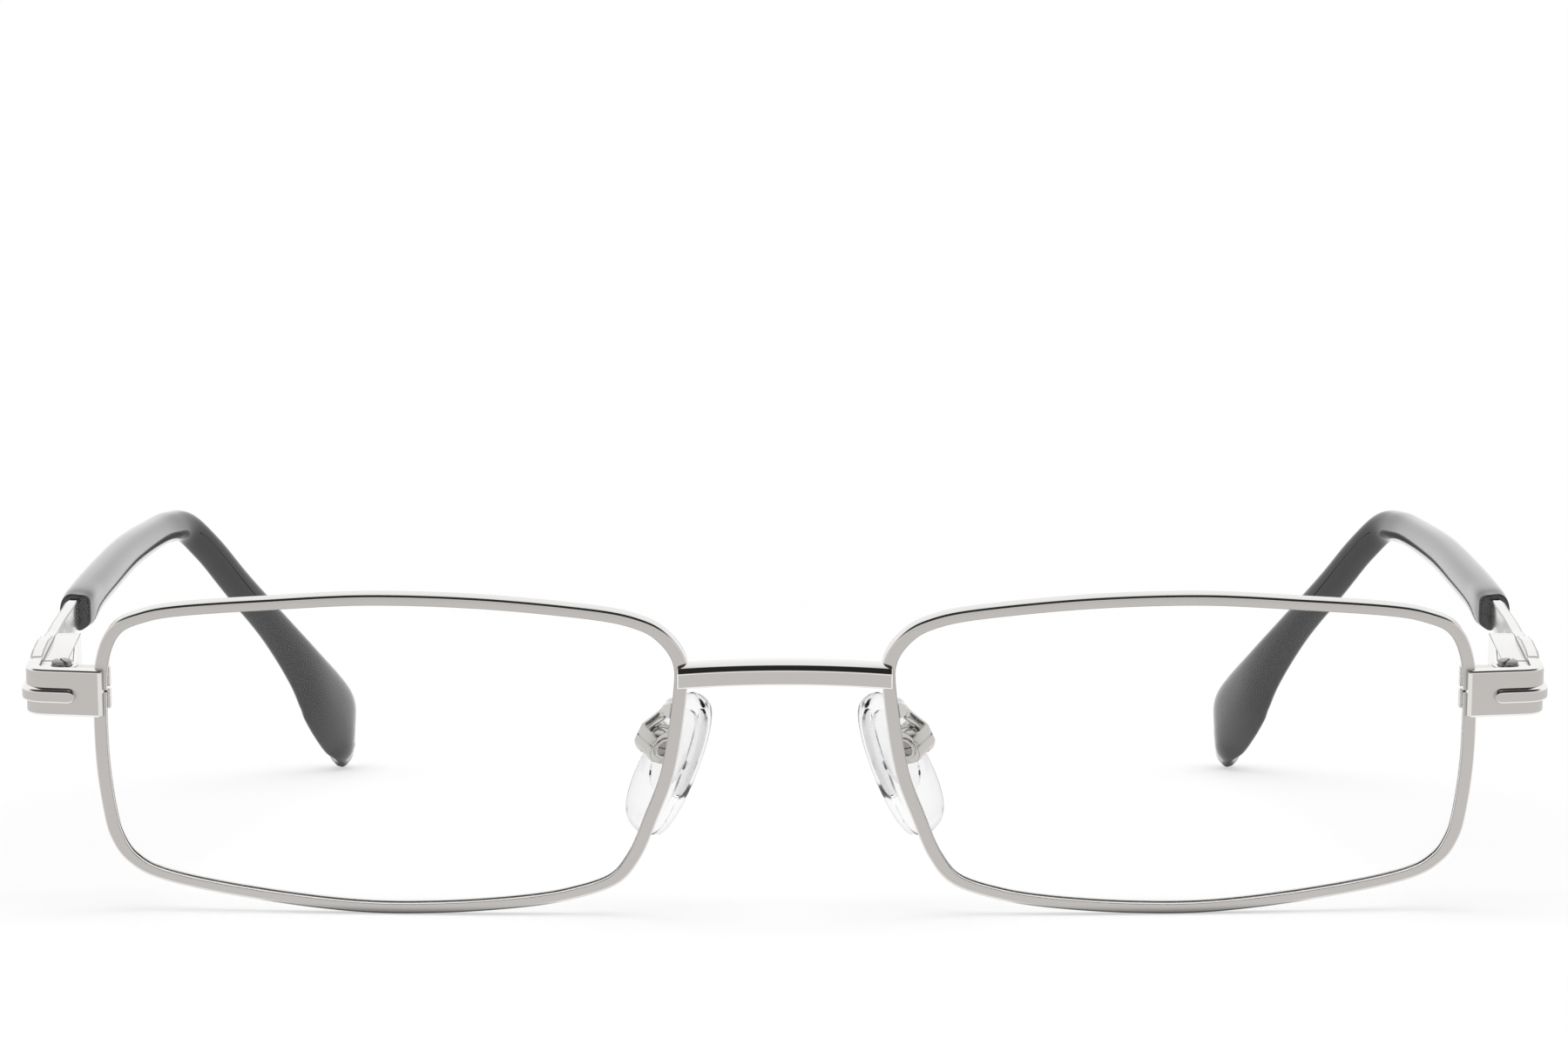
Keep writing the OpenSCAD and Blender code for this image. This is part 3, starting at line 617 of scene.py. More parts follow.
class Shape:
    """A mesh under construction, in millimetres, with finishes and grain."""

    weld: float = 1e-7

    def __init__(self) -> None:
        """Starts an empty shape."""
        self.points: list[Vector] = []
        self.faces: list[tuple[int, ...]] = []
        self.finishes: list[Face] = []
        self.grain: list[float] = []

    def loft(self, rings: Rings, bands: list[Face] | None = None, start_face: Face | None = None,
             closed: bool = False) -> "Shape":
        """Adds a skin through rings of points.

        Args:
            rings: closed rings, each of the same number of points.
            bands: the finish of the band after each point of a ring, where it isn't satin.
            start_face: the finish of the whole first step, where it has one of its own.
            closed: whether the last ring joins the first, which leaves no caps.

        Returns:
            The shape.
        """
        base, n = len(self.points), len(rings[0])
        bands = bands or [Face.SATIN] * n
        run = 0.0
        for i, ring in enumerate(rings):
            run += (self._centre(ring) - self._centre(rings[i - 1])).length if i else 0.0
            around = 0.0
            for j, point in enumerate(ring):
                around += (point - ring[j - 1]).length if j else 0.0
                self.points.append(point)
                self.grain += (run, around, 0.0)
        for i in range(len(rings) if closed else len(rings) - 1):
            a, b = base + i * n, base + (i + 1) % len(rings) * n
            for j in range(n):
                k = (j + 1) % n
                self.faces.append((a + j, a + k, b + k, b + j))
                self.finishes.append(start_face if start_face and i == 0 else bands[j])
        for start in () if closed else (base, base + (len(rings) - 1) * n):
            self.faces.append(tuple(range(start, start + n)))
            self.finishes.append(Face.POLISHED)
        return self

    @staticmethod
    def _centre(ring: list[Vector]) -> Vector:
        """Mean of a ring's points."""
        return sum(ring, Vector((0, 0, 0))) / len(ring)

    def build(self, name: str, place: Placement, materials: list[Finish], sharp: float = 40.0,
              bevel: float = 0.0, least: float = 60.0) -> Object:
        """Makes the piece.

        Args:
            name: the piece's name.
            place: where it goes.
            materials: the finish of each Face, in order; the last one stands for those beyond it.
            sharp: edges of a greater angle, in degrees, stay sharp.
            bevel: width of the polished bevel on its sharp edges, in millimetres.
            least: least angle of an edge that the bevel takes, in degrees.

        Returns:
            The piece.
        """
        mesh = bpy.data.meshes.new(name)
        world = place.world
        mesh.from_pydata([world @ p for p in self.points], [], self.faces)
        for polygon, finish in zip(mesh.polygons, self.finishes):
            polygon.material_index = min(finish.value, len(materials) - 1)
        mesh.attributes.new("grain", "FLOAT_VECTOR", "POINT").data.foreach_set("vector", self.grain)
        work = bmesh.new()
        work.from_mesh(mesh)
        bmesh.ops.remove_doubles(work, verts=work.verts, dist=self.weld)
        bmesh.ops.recalc_face_normals(work, faces=work.faces)
        if bevel:
            ease_edges(work, bevel, least, Face.POLISHED.value)
        return finished(mesh, work, place, materials, sharp)


@dataclass(frozen=True)
class FrontSizes:
    """Sizes of the glasses' front, in its own frame, whose zero is below the bridge."""

    eye_w: float = 52.8
    eye_h: float = 28.6
    bridge_gap: float = 19.0
    base_r: float = 125.0
    wrap_shift: float = 10.0
    rim_w: float = 1.25
    rail_share: float = 0.8
    rim_depth: float = 1.8
    groove_depth: float = 0.45
    groove_lip: float = 0.4
    lens_play: float = 0.05
    split_gap: float = 0.3
    end_z: float = 4.9
    hinge_out: float = 3.2
    hinge_back: float = 2.8
    head_out: float = 3.2
    splay: float = 3.0
    outline: tuple[Pair, ...] = (
        (0.059, 0.997), (0.423, 0.946), (0.698, 0.889), (0.831, 0.833), (0.927, 0.746),
        (0.979, 0.585), (0.998, 0.339), (0.997, -0.093), (0.977, -0.432), (0.952, -0.612),
        (0.896, -0.754), (0.783, -0.853), (0.51, -0.932), (0.128, -0.995), (-0.16, -0.992),
        (-0.435, -0.955), (-0.607, -0.906), (-0.757, -0.814), (-0.835, -0.653), (-0.893, -0.408),
        (-0.955, -0.089), (-0.995, 0.378), (-0.993, 0.589), (-0.934, 0.75), (-0.844, 0.848),
        (-0.68, 0.917), (-0.32, 0.984),
    )

    @property
    def land(self) -> float:
        """Rim width outside the groove."""
        return self.rim_w - self.groove_depth

    @property
    def half_w(self) -> float:
        """Half the rim's width."""
        return self.eye_w / 2 + self.land

    @property
    def half_h(self) -> float:
        """Half the rim's height, which is also the height of its middle."""
        return self.eye_h / 2 + self.rail_share * self.land

    @property
    def eye_x(self) -> float:
        """Middle of the rim."""
        return (self.bridge_gap + self.eye_w) / 2

    @property
    def end_x(self) -> float:
        """The rim's outermost place."""
        return self.eye_x + self.half_w

    @property
    def hinge(self) -> Vector:
        """The middle of the hinge."""
        z = self.half_h + self.end_z
        return Vector((self.end_x + self.hinge_out, self.surface_y(self.end_x, z, 0) + self.hinge_back, z))

    def surface_y(self, x: float, z: float, depth: float) -> float:
        """Y of the face over a place in X and Z, at a depth behind the rim's front."""
        r, form_x = self.base_r - depth, self.eye_x - self.wrap_shift
        return self.base_r - math.sqrt(r * r - (x - form_x) ** 2 - (z - self.half_h) ** 2)

    def on_face(self, place: Vector, depth: float) -> Vector:
        """Point at a depth behind the rim's front, over a place in X and Z."""
        return Vector((place.x, self.surface_y(place.x, place.y, depth), place.y))

    def inward(self, way: Vector) -> Vector:
        """Step in X and Z into the rim from its clockwise edge, shorter at its top and bottom."""
        return Vector((way.y, -self.rail_share * way.x))

    def outer_line(self, steps: int) -> list[Vector]:
        """The rim's outer edge in X and Z, clockwise from the top middle."""
        return smooth([Vector((self.eye_x + sx * self.half_w, self.half_h + sz * self.half_h))
                       for sx, sz in self.outline], steps, closed=True)


def joint(name: str) -> tuple[Vector, Vector]:
    """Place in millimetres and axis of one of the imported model's joints."""
    found = next(j for j in frame["joints"] if j["name"] == name)
    return Vector(found["pos_m"]) / MM, Vector(found["axis"])


@dataclass(frozen=True)
class Stance:
    """The frames in which pieces are drawn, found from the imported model's left joints."""

    sizes: FrontSizes
    front: Matrix
    pad_frontal: float = 25.0
    pad_splay: float = 35.0

    @classmethod
    def from_joint(cls, sizes: FrontSizes) -> "Stance":
        """Finds the front frame from the fold joint.

        Args:
            sizes: the front's sizes.

        Returns:
            The stance.
        """
        place, axis = joint("fold_left")
        turn = Matrix.Rotation(math.atan2(-axis.y, axis.z), 4, "X")
        return cls(sizes, Matrix.Translation(place - turn @ sizes.hinge) @ turn)

    @property
    def hinge(self) -> Matrix:
        """The hinge frame: the front frame with its zero in the hinge's middle."""
        return self.front @ Matrix.Translation(self.sizes.hinge)

    @property
    def temple(self) -> Matrix:
        """The temple frame: zero on the hinge axis, +Y along the temple."""
        return self.hinge @ Matrix.Rotation(-math.radians(self.sizes.splay), 4, "Z")

    @property
    def pad(self) -> Matrix:
        """The pad frame: zero in the pad box, +Z along the pad, +X away from the nose."""
        return (Matrix.Translation(joint("pad_rock_left")[0]) @ self.front.to_3x3().to_4x4()
                @ Matrix.Rotation(-math.radians(self.pad_frontal), 4, "Y")
                @ Matrix.Rotation(-math.radians(self.pad_splay), 4, "Z"))


@dataclass
class SubAssembly:
    """A sub-assembly on one side."""

    stance: Stance
    side: Side

    def on_front(self, stem: str, slot: str = "front_metal") -> Placement:
        """Placement of a piece of the front that stands for a node on this side."""
        return Placement(self.stance.front, self.side, "front", (f"{stem}_{self.side.value}",), slot)

    def on_temple(self, stem: str, slot: str = "temple_metal") -> Placement:
        """Placement of a piece of the temple that stands for a node on this side."""
        name = self.side.value
        return Placement(self.stance.temple, self.side, f"temple_{name}", (f"{stem}_{name}",), slot)


@dataclass
class RimAndLens(SubAssembly):
    """One rim with its closing cut, and the lens in its groove."""

    steps: int = 10
    bevel: tuple[tuple[float, float, float], ...] = ((0.0, 0.40, 0.06), (0.045, 0.155, 0.05))
    bevel_in: float = 0.30
    bevel_side: float = 0.30
    edge_ease: float = 0.05
    back_ease: float = 0.22
    lip_ease: float = 0.08
    closest: float = 0.02
    lens_bevel: float = 0.12
    lens_rings: tuple[float, ...] = (0.12, 0.3, 0.5, 0.7, 0.86, 0.96)

    def rim(self) -> Object:
        """Builds the rim as a section carried round the outline from the cut and back to it.

        Returns:
            The rim.
        """
        s = self.stance.sizes
        line = s.outer_line(self.steps)
        n = len(line)
        cut_z, half = s.half_h + s.end_z, s.split_gap / 2
        at = next(i for i in range(n) if line[i].x > s.eye_x and line[i].y >= cut_z > line[(i + 1) % n].y)
        a, b = line[at], line[(at + 1) % n]
        ends = [a + (b - a) * ((z - a.y) / (b.y - a.y)) for z in (cut_z - half, cut_z + half)]
        kept = [p for p in line[at + 1:] + line[:at + 1]
                if not (p.x > s.eye_x and abs(p.y - cut_z) < half * 0.999)]
        if (ends[1] - kept[-1]).length < self.closest:
            del kept[-1]
        route = [ends[0], *kept, ends[1]]
        rings, bands = [], []
        for i, p in enumerate(route):
            way = heading(route, i)
            inward = Vector((-1.0, 0.0)) if i in (0, len(route) - 1) else s.inward(way)
            section, bands = self.section(way.x * way.x)
            rings.append([s.on_face(p + inward * d.x, d.y) for d in section])
        return Shape().loft(rings, bands).build(f"rim_shell_{self.side.value}", self.on_front("rim"),
                                                [SATIN_PLATE, EDGE_PLATE, PAINTED_SHADE_EDGE_PLATE], sharp=50)

    def section(self, level: float) -> tuple[list[Vector], list[Face]]:
        """The rim's section, whose bevel is narrower where the rim runs upright.

        Args:
            level: 1 where the rim runs level, 0 where it runs upright.

        Returns:
            Steps inward and back from the outer front edge, and the finish of each band.
        """
        s = self.stance.sizes
        deep, wide, lip = s.rim_depth, s.rim_w, s.groove_lip
        share = self.bevel_side + (1 - self.bevel_side) * level
        # The rounding of corner 1 takes the darker plate of painted shade.
        return eased_section(
            [(self.bevel_in * share, 0, self.edge_ease * share), (wide, 0, self.lip_ease), (wide, lip, 0),
             (s.land, lip, 0), (s.land, deep - lip, 0), (wide, deep - lip, 0), (wide, deep, self.lip_ease),
             (0, deep, self.back_ease), *((a * share, b * share, r * share) for a, b, r in self.bevel)],
            [Face.SATIN, Face.POLISHED, Face.SATIN, Face.SATIN, Face.SATIN, Face.POLISHED, Face.SATIN,
             Face.POLISHED, Face.POLISHED, Face.POLISHED], rounded={1: Face.ROUNDED})

    def lens(self) -> Object:
        """Builds the lens as rings of points on two spheres, drawn in towards its middle.

        Returns:
            The lens.
        """
        s = self.stance.sizes
        line = s.outer_line(self.steps)
        edge = [p + s.inward((line[(i + 1) % len(line)] - line[i - 1]).normalized()) * (s.land + s.lens_play)
                for i, p in enumerate(line)]
        middle = Vector((s.eye_x, s.half_h))
        bevel = self.lens_bevel
        small = [[middle + (p - middle) * k for p in edge] for k in self.lens_rings]
        small.append([p + (middle - p).normalized() * bevel for p in edge])
        near, far = s.groove_lip + s.lens_play, s.rim_depth - s.groove_lip - s.lens_play
        steps = [(ring, near) for ring in small] + [(edge, near + bevel), (edge, far - bevel)]
        steps += [(ring, far) for ring in reversed(small)]
        rings = [[s.on_face(p, depth) for p in ring] for ring, depth in steps]
        return Shape().loft(rings).build(f"lens_shell_{self.side.value}", self.on_front("lens", "lens_clear"),
                                         [LENS_CLEAR], sharp=30)


@dataclass
class Bridge:
    """The bridge bar, with its soldered ends."""

    stance: Stance
    height: float = 2.2
    thick: float = 1.8
    above: float = 7.37
    rise: float = 0.6
    bow: float = 0.9
    lap: float = 1.0
    proud: float = 0.55
    bevel: tuple[Pair, ...] = ((0.0, 0.82), (0.30, 0.38), (0.82, 0.04))
    low_ease: float = 0.16
    facet_ease: float = 0.06
    back_ease: float = 0.3
    steps: int = 24

    def build(self) -> Object:
        """Builds the bar as a section with a broad polished upper edge.

        Returns:
            The bridge.
        """
        s = self.stance.sizes
        half = s.bridge_gap / 2 - s.land + self.lap
        end_y = s.surface_y(half, s.half_h + self.above, 0) - self.proud
        half_h = self.height / 2
        section, bands = eased_section(
            [(0, -half_h, self.low_ease),
             *((back, half_h - down, self.facet_ease) for back, down in self.bevel),
             (self.thick, half_h, self.back_ease), (self.thick, -half_h, self.back_ease)],
            [Face.SATIN, Face.POLISHED, Face.POLISHED, Face.POLISHED, Face.SATIN, Face.SATIN])
        rings = []
        for i in range(-self.steps, self.steps + 1):
            share = i / self.steps
            x = share * half
            y = end_y - self.bow * (1 - share * share)
            z = s.half_h + self.above + self.rise * (1 - share * share)
            rings.append([Vector((x, y + p.x, z + p.y)) for p in section])
        place = Placement(self.stance.front, Side.LEFT, "front", ("bridge",), "front_metal")
        return Shape().loft(rings, bands).build("bridge_bar", place, [SATIN_PLATE, BRIGHT_PLATE], bevel=0.12)


@dataclass
class EndPiece(SubAssembly):
    """The plate that runs from the rim round the corner, with its raised rib."""

    height: float = 4.4
    thick: float = 1.2
    sink: float = 0.15
    rib_sink: float = 0.30
    lap: float = 1.0
    proud: float = 0.6
    slope: float = 8.0
    nose: float = 0.32
    nose_step: float = 0.1
    nose_run: float = 3.0
    nose_scale: Pair = (0.62, 0.96)
    corner_r: float = 1.5
    rib_h: float = 1.4
    rib_proud: float = 0.4
    rib_start: float = 0.36
    rib_run: float = 0.6
    ear_r: float = 1.5
    rear_share: float = 1.4
    bottom_ease: float = 0.24
    rib_ease: float = 0.14
    inner_ease: float = 0.1
    facet_ease: float = 0.04
    plate_edge: tuple[Pair, ...] = ((0.0, 0.19), (0.11, 0.03), (0.36, 0.0))
    rib_edge: tuple[Pair, ...] = ((0.0, 0.40), (0.12, 0.22), (0.42, 0.05))
    bend_steps: int = 14

    def route(self) -> tuple[Vector, Vector, Vector]:
        """Finds the plate's middle line.

        Returns:
            Its inner end, its corner and its rear end, in the front frame.
        """
        s = self.stance.sizes
        z = s.half_h + s.end_z
        x0 = s.end_x - self.lap
        y0 = s.surface_y(x0, z, 0) - self.proud + self.thick / 2
        splay, slope = math.radians(s.splay), math.radians(self.slope)
        mid = s.head_out - self.thick / 2
        hinge = s.hinge
        lx, ly = hinge.x + mid * math.cos(splay), hinge.y - mid * math.sin(splay)
        run = lx + (y0 - x0 * math.tan(slope) - ly) * math.tan(splay)
        cx = run / (1 - math.tan(slope) * math.tan(splay))
        cy = y0 + (cx - x0) * math.tan(slope)
        end = self.rear_share * self.ear_r
        return (Vector((x0, y0, z)), Vector((cx, cy, z)),
                Vector((lx + end * math.sin(splay), ly + end * math.cos(splay), z)))

    def build(self) -> Object:
        """Builds plate and rib.

        Returns:
            The end piece.
        """
        start, corner, rear = self.route()
        way = (corner - start).normalized()
        p, q = corner - self.corner_r * way, corner + self.corner_r * (rear - corner).normalized()
        bend = [(1 - t) ** 2 * p + 2 * t * (1 - t) * corner + t * t * q
                for t in (k / self.bend_steps for k in range(self.bend_steps + 1))] + [rear]
        plate, plate_bands = self.section(self.thick, self.height, self.plate_edge, self.bottom_ease,
                                          self.sink)
        line = [start + way * k for k in (0, self.nose, self.nose + self.nose_step, self.nose_run)] + bend
        shape = Shape().loft(self.swept(line, plate, [self.nose_scale]), plate_bands, Face.ROUNDED)
        rib, rib_bands = self.rib_section(self.thick)
        nose = start + self.rib_start * (corner - start)
        radius = self.rib_h / 2
        line = [nose + way * radius * k for k in ROUND_END] + [nose + way * (radius + self.rib_run)] + bend
        scales = [(1.0, math.sqrt(1 - (1 - k) ** 2)) for k in ROUND_END]
        shape.loft(self.swept(line, rib, scales, self.rib_sink), rib_bands)
        return shape.build(f"end_plate_{self.side.value}", self.on_front("end_piece"),
                           [SATIN_PLATE, BRIGHT_PLATE, EDGE_PLATE], bevel=0.1, least=70)

    @classmethod
    def rib_section(cls, thick: float) -> tuple[list[Vector], list[Face]]:
        """Section of the rib on a plate of a thickness, which the temple shares."""
        return cls.section(thick + 2 * cls.rib_proud, cls.rib_h, cls.rib_edge, cls.rib_ease)

    @classmethod
    def section(cls, thick: float, height: float, edge: tuple[Pair, ...], bottom: float,
                sink: float = 0.0) -> tuple[list[Vector], list[Face]]:
        """Rectangular section with a polished, faceted upper edge on its outer side.

        Args:
            thick: thickness, outward.
            height: height.
            edge: three corners of the upper edge, as steps inward and down from the square corner.
            bottom: rounding of the lower outer corner.
            sink: how far its middle lies below the route.

        Returns:
            Points, outward and up, and the finish of each band.
        """
        t, low, high = thick / 2, -height / 2 - sink, height / 2 - sink
        facets = [(t - a, high - b, cls.facet_ease) for a, b in edge]
        return eased_section(
            [(-t, low, cls.inner_ease), (t, low, bottom), *facets, (-t, high, cls.inner_ease)],
            [Face.POLISHED, Face.SATIN, Face.POLISHED, Face.POLISHED, Face.POLISHED, Face.SATIN])

    @staticmethod
    def swept(line: list[Vector], section: list[Vector], scales: list[Pair], sink: float = 0.0) -> Rings:
        """Rings of a section carried along a level line.

        Args:
            line: the route.
            section: points, outward and up.
            scales: shares of thickness and height at the line's first points.
            sink: how far the rings lie below the line.

        Returns:
            The rings.
        """
        rings = []
        for i, p in enumerate(line):
            out = across(heading(line, i))[0]
            thick, high = scales[i] if i < len(scales) else (1.0, 1.0)
            rings.append([p + out * q.x * thick + UP * (q.y * high - sink) for q in section])
        return rings


@dataclass
class Temple(SubAssembly):
    """One temple: metal head and bar with their rib, and the plastic sleeve."""

    reach: float = 117.3
    drop: float = 39.1
    inset: float = 21.6
    head_h: float = 4.6
    bar_h: float = 2.8
    bar_t: float = 1.2
    core_t: float = 0.9
    core_up: Pair = (1.5, 1.0)
    core_down: Pair = (1.2, 1.0)
    core_run: float = 2.0
    sleeve_t: float = 4.0
    sleeve_h: float = 9.2
    start: float = 2.22
    housing_end: float = 19.88
    rib_end: float = 9.6
    rib_step: float = 1.5
    inner_ease: float = 0.12
    outer_ease: float = 0.24
    arm_steps: int = 60
    # Shares of inset, reach, drop, sleeve_t and sleeve_h, from the bar's end to the tip.
    route: tuple[tuple[float, float, float, float, float], ...] = (
        (0.008, 0.240, 0.010, 0.78, 0.40), (0.014, 0.267, 0.015, 0.79, 0.41),
        (0.022, 0.300, 0.020, 0.89, 0.47), (0.047, 0.413, 0.036, 0.90, 0.47),
        (0.089, 0.562, 0.061, 0.86, 0.45), (0.152, 0.692, 0.093, 0.80, 0.41),
        (0.203, 0.754, 0.110, 0.81, 0.40), (0.266, 0.791, 0.135, 0.83, 0.39),
        (0.376, 0.814, 0.218, 0.86, 0.39), (0.508, 0.839, 0.340, 0.88, 0.40),
        (0.680, 0.876, 0.496, 0.90, 0.45), (0.819, 0.910, 0.642, 0.92, 0.62),
        (0.912, 0.941, 0.768, 0.94, 0.90), (0.990, 0.974, 0.878, 0.93, 0.97),
        (1.000, 0.992, 0.955, 0.84, 0.75), (1.000, 1.000, 1.000, 0.58, 0.40),
    )
    sleeve_section: tuple[Pair, ...] = (
        (0.0, -1.0), (0.42, -0.84), (0.78, -0.56), (0.97, -0.22), (1.0, 0.14), (0.90, 0.54),
        (0.66, 0.84), (0.28, 0.98), (-0.28, 0.98), (-0.66, 0.84), (-0.90, 0.54), (-1.0, 0.14),
        (-0.97, -0.22), (-0.78, -0.56), (-0.42, -0.84),
    )
    mouth_section: tuple[Pair, ...] = (
        (-0.30, -1.0), (0.22, -0.86), (0.66, -0.58), (0.95, -0.22), (1.0, 0.14), (0.90, 0.54),
        (0.66, 0.84), (0.28, 0.98), (-0.28, 0.98), (-0.72, 0.90), (-0.97, 0.66), (-1.0, 0.14),
        (-1.0, -0.30), (-0.97, -0.62), (-0.72, -0.84),
    )
    # Size of each ring of the mouth's face, and how far it lies behind the ridge's line.
    mouth_rings: tuple[Pair, ...] = (
        (0.1, 0.0), (0.5, 0.0), (0.86, 0.0), (0.95, 0.03), (0.99, 0.10), (1.0, 0.25),
    )
    mouth_run: float = 9.0
    ridge_at: float = -0.35
    ridge_wide: float = 0.65
    ridge_out: float = 0.55
    skin_share: float = 0.97
    tip_cut: int = 3
    tip_rings: tuple[float, ...] = (0.35, 0.62, 0.82, 0.94, 0.99)
    # Upper and lower edge of head and bar: shares of the way to the bar's end and of half head_h.
    top: tuple[Pair, ...] = ((0, 0.9), (0.07, 1.0), (0.2, 1.02), (0.28, 0.92), (0.40, 0.66), (0.52, 0.56))
    bottom: tuple[Pair, ...] = (
        (0, -0.9), (0.07, -0.96), (0.2, -0.96), (0.30, -0.84), (0.44, -0.70), (0.56, -0.66),
    )

    @property
    def leg_mid(self) -> float:
        """Middle of the metal plate, outward from the hinge axis."""
        return self.stance.sizes.head_out - self.bar_t / 2

    def row(self, i: int) -> Vector:
        """Row i of the route, in millimetres: X, Y, Z, thickness and height."""
        a, b, c, t, h = self.route[i]
        return Vector((self.leg_mid - a * self.inset, b * self.reach, -c * self.drop, t * self.sleeve_t,
                       h * self.sleeve_h))

    @staticmethod
    def along(table: list[Pair], y: float) -> float:
        """Reads a table, eased between its rows.

        Args:
            table: a value by Y.
            y: the place to read it at.

        Returns:
            The value.
        """
        for (y0, v0), (y1, v1) in zip(table, table[1:]):
            if y <= y1:
                return v0 + (v1 - v0) * smooth_step(max(0.0, (y - y0) / (y1 - y0)))
        return table[-1][1]

    def arm(self) -> Object:
        """Builds head, bar, rib and the core's first stretch inside the sleeve.

        Returns:
            The temple arm.
        """
        first, mouth = self.row(0), self.row(1)
        last = mouth.y + self.core_run
        outside = self.stance.sizes.head_out

        def edge(shares: tuple[Pair, ...], sign: int, core: Pair) -> list[Pair]:
            """Table of the upper or lower edge: its height by Y."""
            head = [(self.start + a * (first.y - self.start), b * self.head_h / 2) for a, b in shares]
            return [*head, (first.y, first.z + sign * self.bar_h / 2), (mouth.y, mouth.z + sign * core[0]),
                    (last, mouth.z + sign * core[1])]

        def cheek(x: float, end: float, sign: int) -> list[Pair]:
            """Table of the outer or inner side: its X by Y."""
            return [(self.start, x), (end, x), (first.y, first.x + sign * self.bar_t / 2),
                    (mouth.y, mouth.x + sign * self.core_t / 2)]

        top, bottom = edge(self.top, 1, self.core_up), edge(self.bottom, -1, self.core_down)
        outer = cheek(outside, self.housing_end - 1, 1)
        inner = cheek(outside - self.bar_t, self.housing_end, -1)
        rings, bands = [], []
        for k in range(self.arm_steps + 1):
            y = self.start + k * (last - self.start) / self.arm_steps
            x0, x1, z0, z1 = (self.along(table, y) for table in (inner, outer, bottom, top))
            # Every rounding takes the darker plate of painted shade.
            section, bands = eased_section(
                [(x0, z0, self.inner_ease), (x1, z0, self.outer_ease), (x1, z1, self.outer_ease),
                 (x0, z1, self.inner_ease)],
                [Face.POLISHED, Face.SATIN, Face.POLISHED, Face.SATIN],
                rounded={corner: Face.ROUNDED for corner in range(4)})
            rings.append([Vector((p.x, y, p.y)) for p in section])
        rib, rib_bands = EndPiece.rib_section(self.bar_t)
        radius = EndPiece.rib_h / 2
        line = [(y, 1.0) for y in (self.start, self.start + self.rib_step,
                                   self.rib_end - radius - self.rib_step)]
        line += [(self.rib_end - radius * k, math.sqrt(1 - (1 - k) ** 2)) for k in reversed(ROUND_END)]
        rib_rings = [[Vector((self.leg_mid + q.x, y, q.y * high - EndPiece.rib_sink)) for q in rib]
                     for y, high in line]
        return Shape().loft(rings, bands).loft(rib_rings, rib_bands).build(
            f"temple_bar_{self.side.value}", self.on_temple("temple_arm"),
            [TEMPLE_PLATE, BRIGHT_PLATE, PAINTED_SHADE_EDGE_PLATE], bevel=0.1, least=70)

    def sleeve(self) -> Object:
        """Builds the plastic sleeve as one smooth skin from its mouth to the rounded tip.

        Returns:
            The sleeve.
        """
        rows = smooth([self.row(i) for i in range(1, len(self.route))], 8, closed=False)
        line = [Vector(row[:3]) for row in rows]
        tip = line[-1]
        rows, line = rows[:-self.tip_cut], line[:-self.tip_cut]
        body, mouth = (smooth([Vector(p) for p in section], 3, closed=True)
                       for section in (self.sleeve_section, self.mouth_section))
        rings = []
        for i, (row, here) in enumerate(zip(rows, line)):
            way = heading(line, i)
            out, up = across(way)
            wide, high = (self.skin_share * size / 2 for size in row[3:5])
            near = smooth_step(max(0.0, 1 - (row.y - rows[0].y) / self.mouth_run))
            section = [m * near + b * (1 - near) for m, b in zip(mouth, body)]
            if i:
                rings.append([here + out * p.x * wide + up * p.y * high for p in section])
                continue
            for size, back in self.mouth_rings:
                rings.append([here + out * p.x * size * wide + up * p.y * size * high
                              + way * (back - self.ridge(p.x * size)) for p in section])
        last, end = rings[-1], line[-1]
        for k in self.tip_rings:
            rings.append([end + (tip - end) * k + (q - end) * math.sqrt(1 - k * k) for q in last])
        return Shape().loft(rings).build(f"sleeve_{self.side.value}",
                                         self.on_temple("temple_sleeve", "sleeve_plastic"),
                                         [SLEEVE_BLACK], sharp=55)

    def ridge(self, place: float) -> float:
        """How far the upright ridge of the mouth's face stands forward, at a share across it."""
        return self.ridge_out * max(0.0, 1 - abs(place - self.ridge_at) / self.ridge_wide)


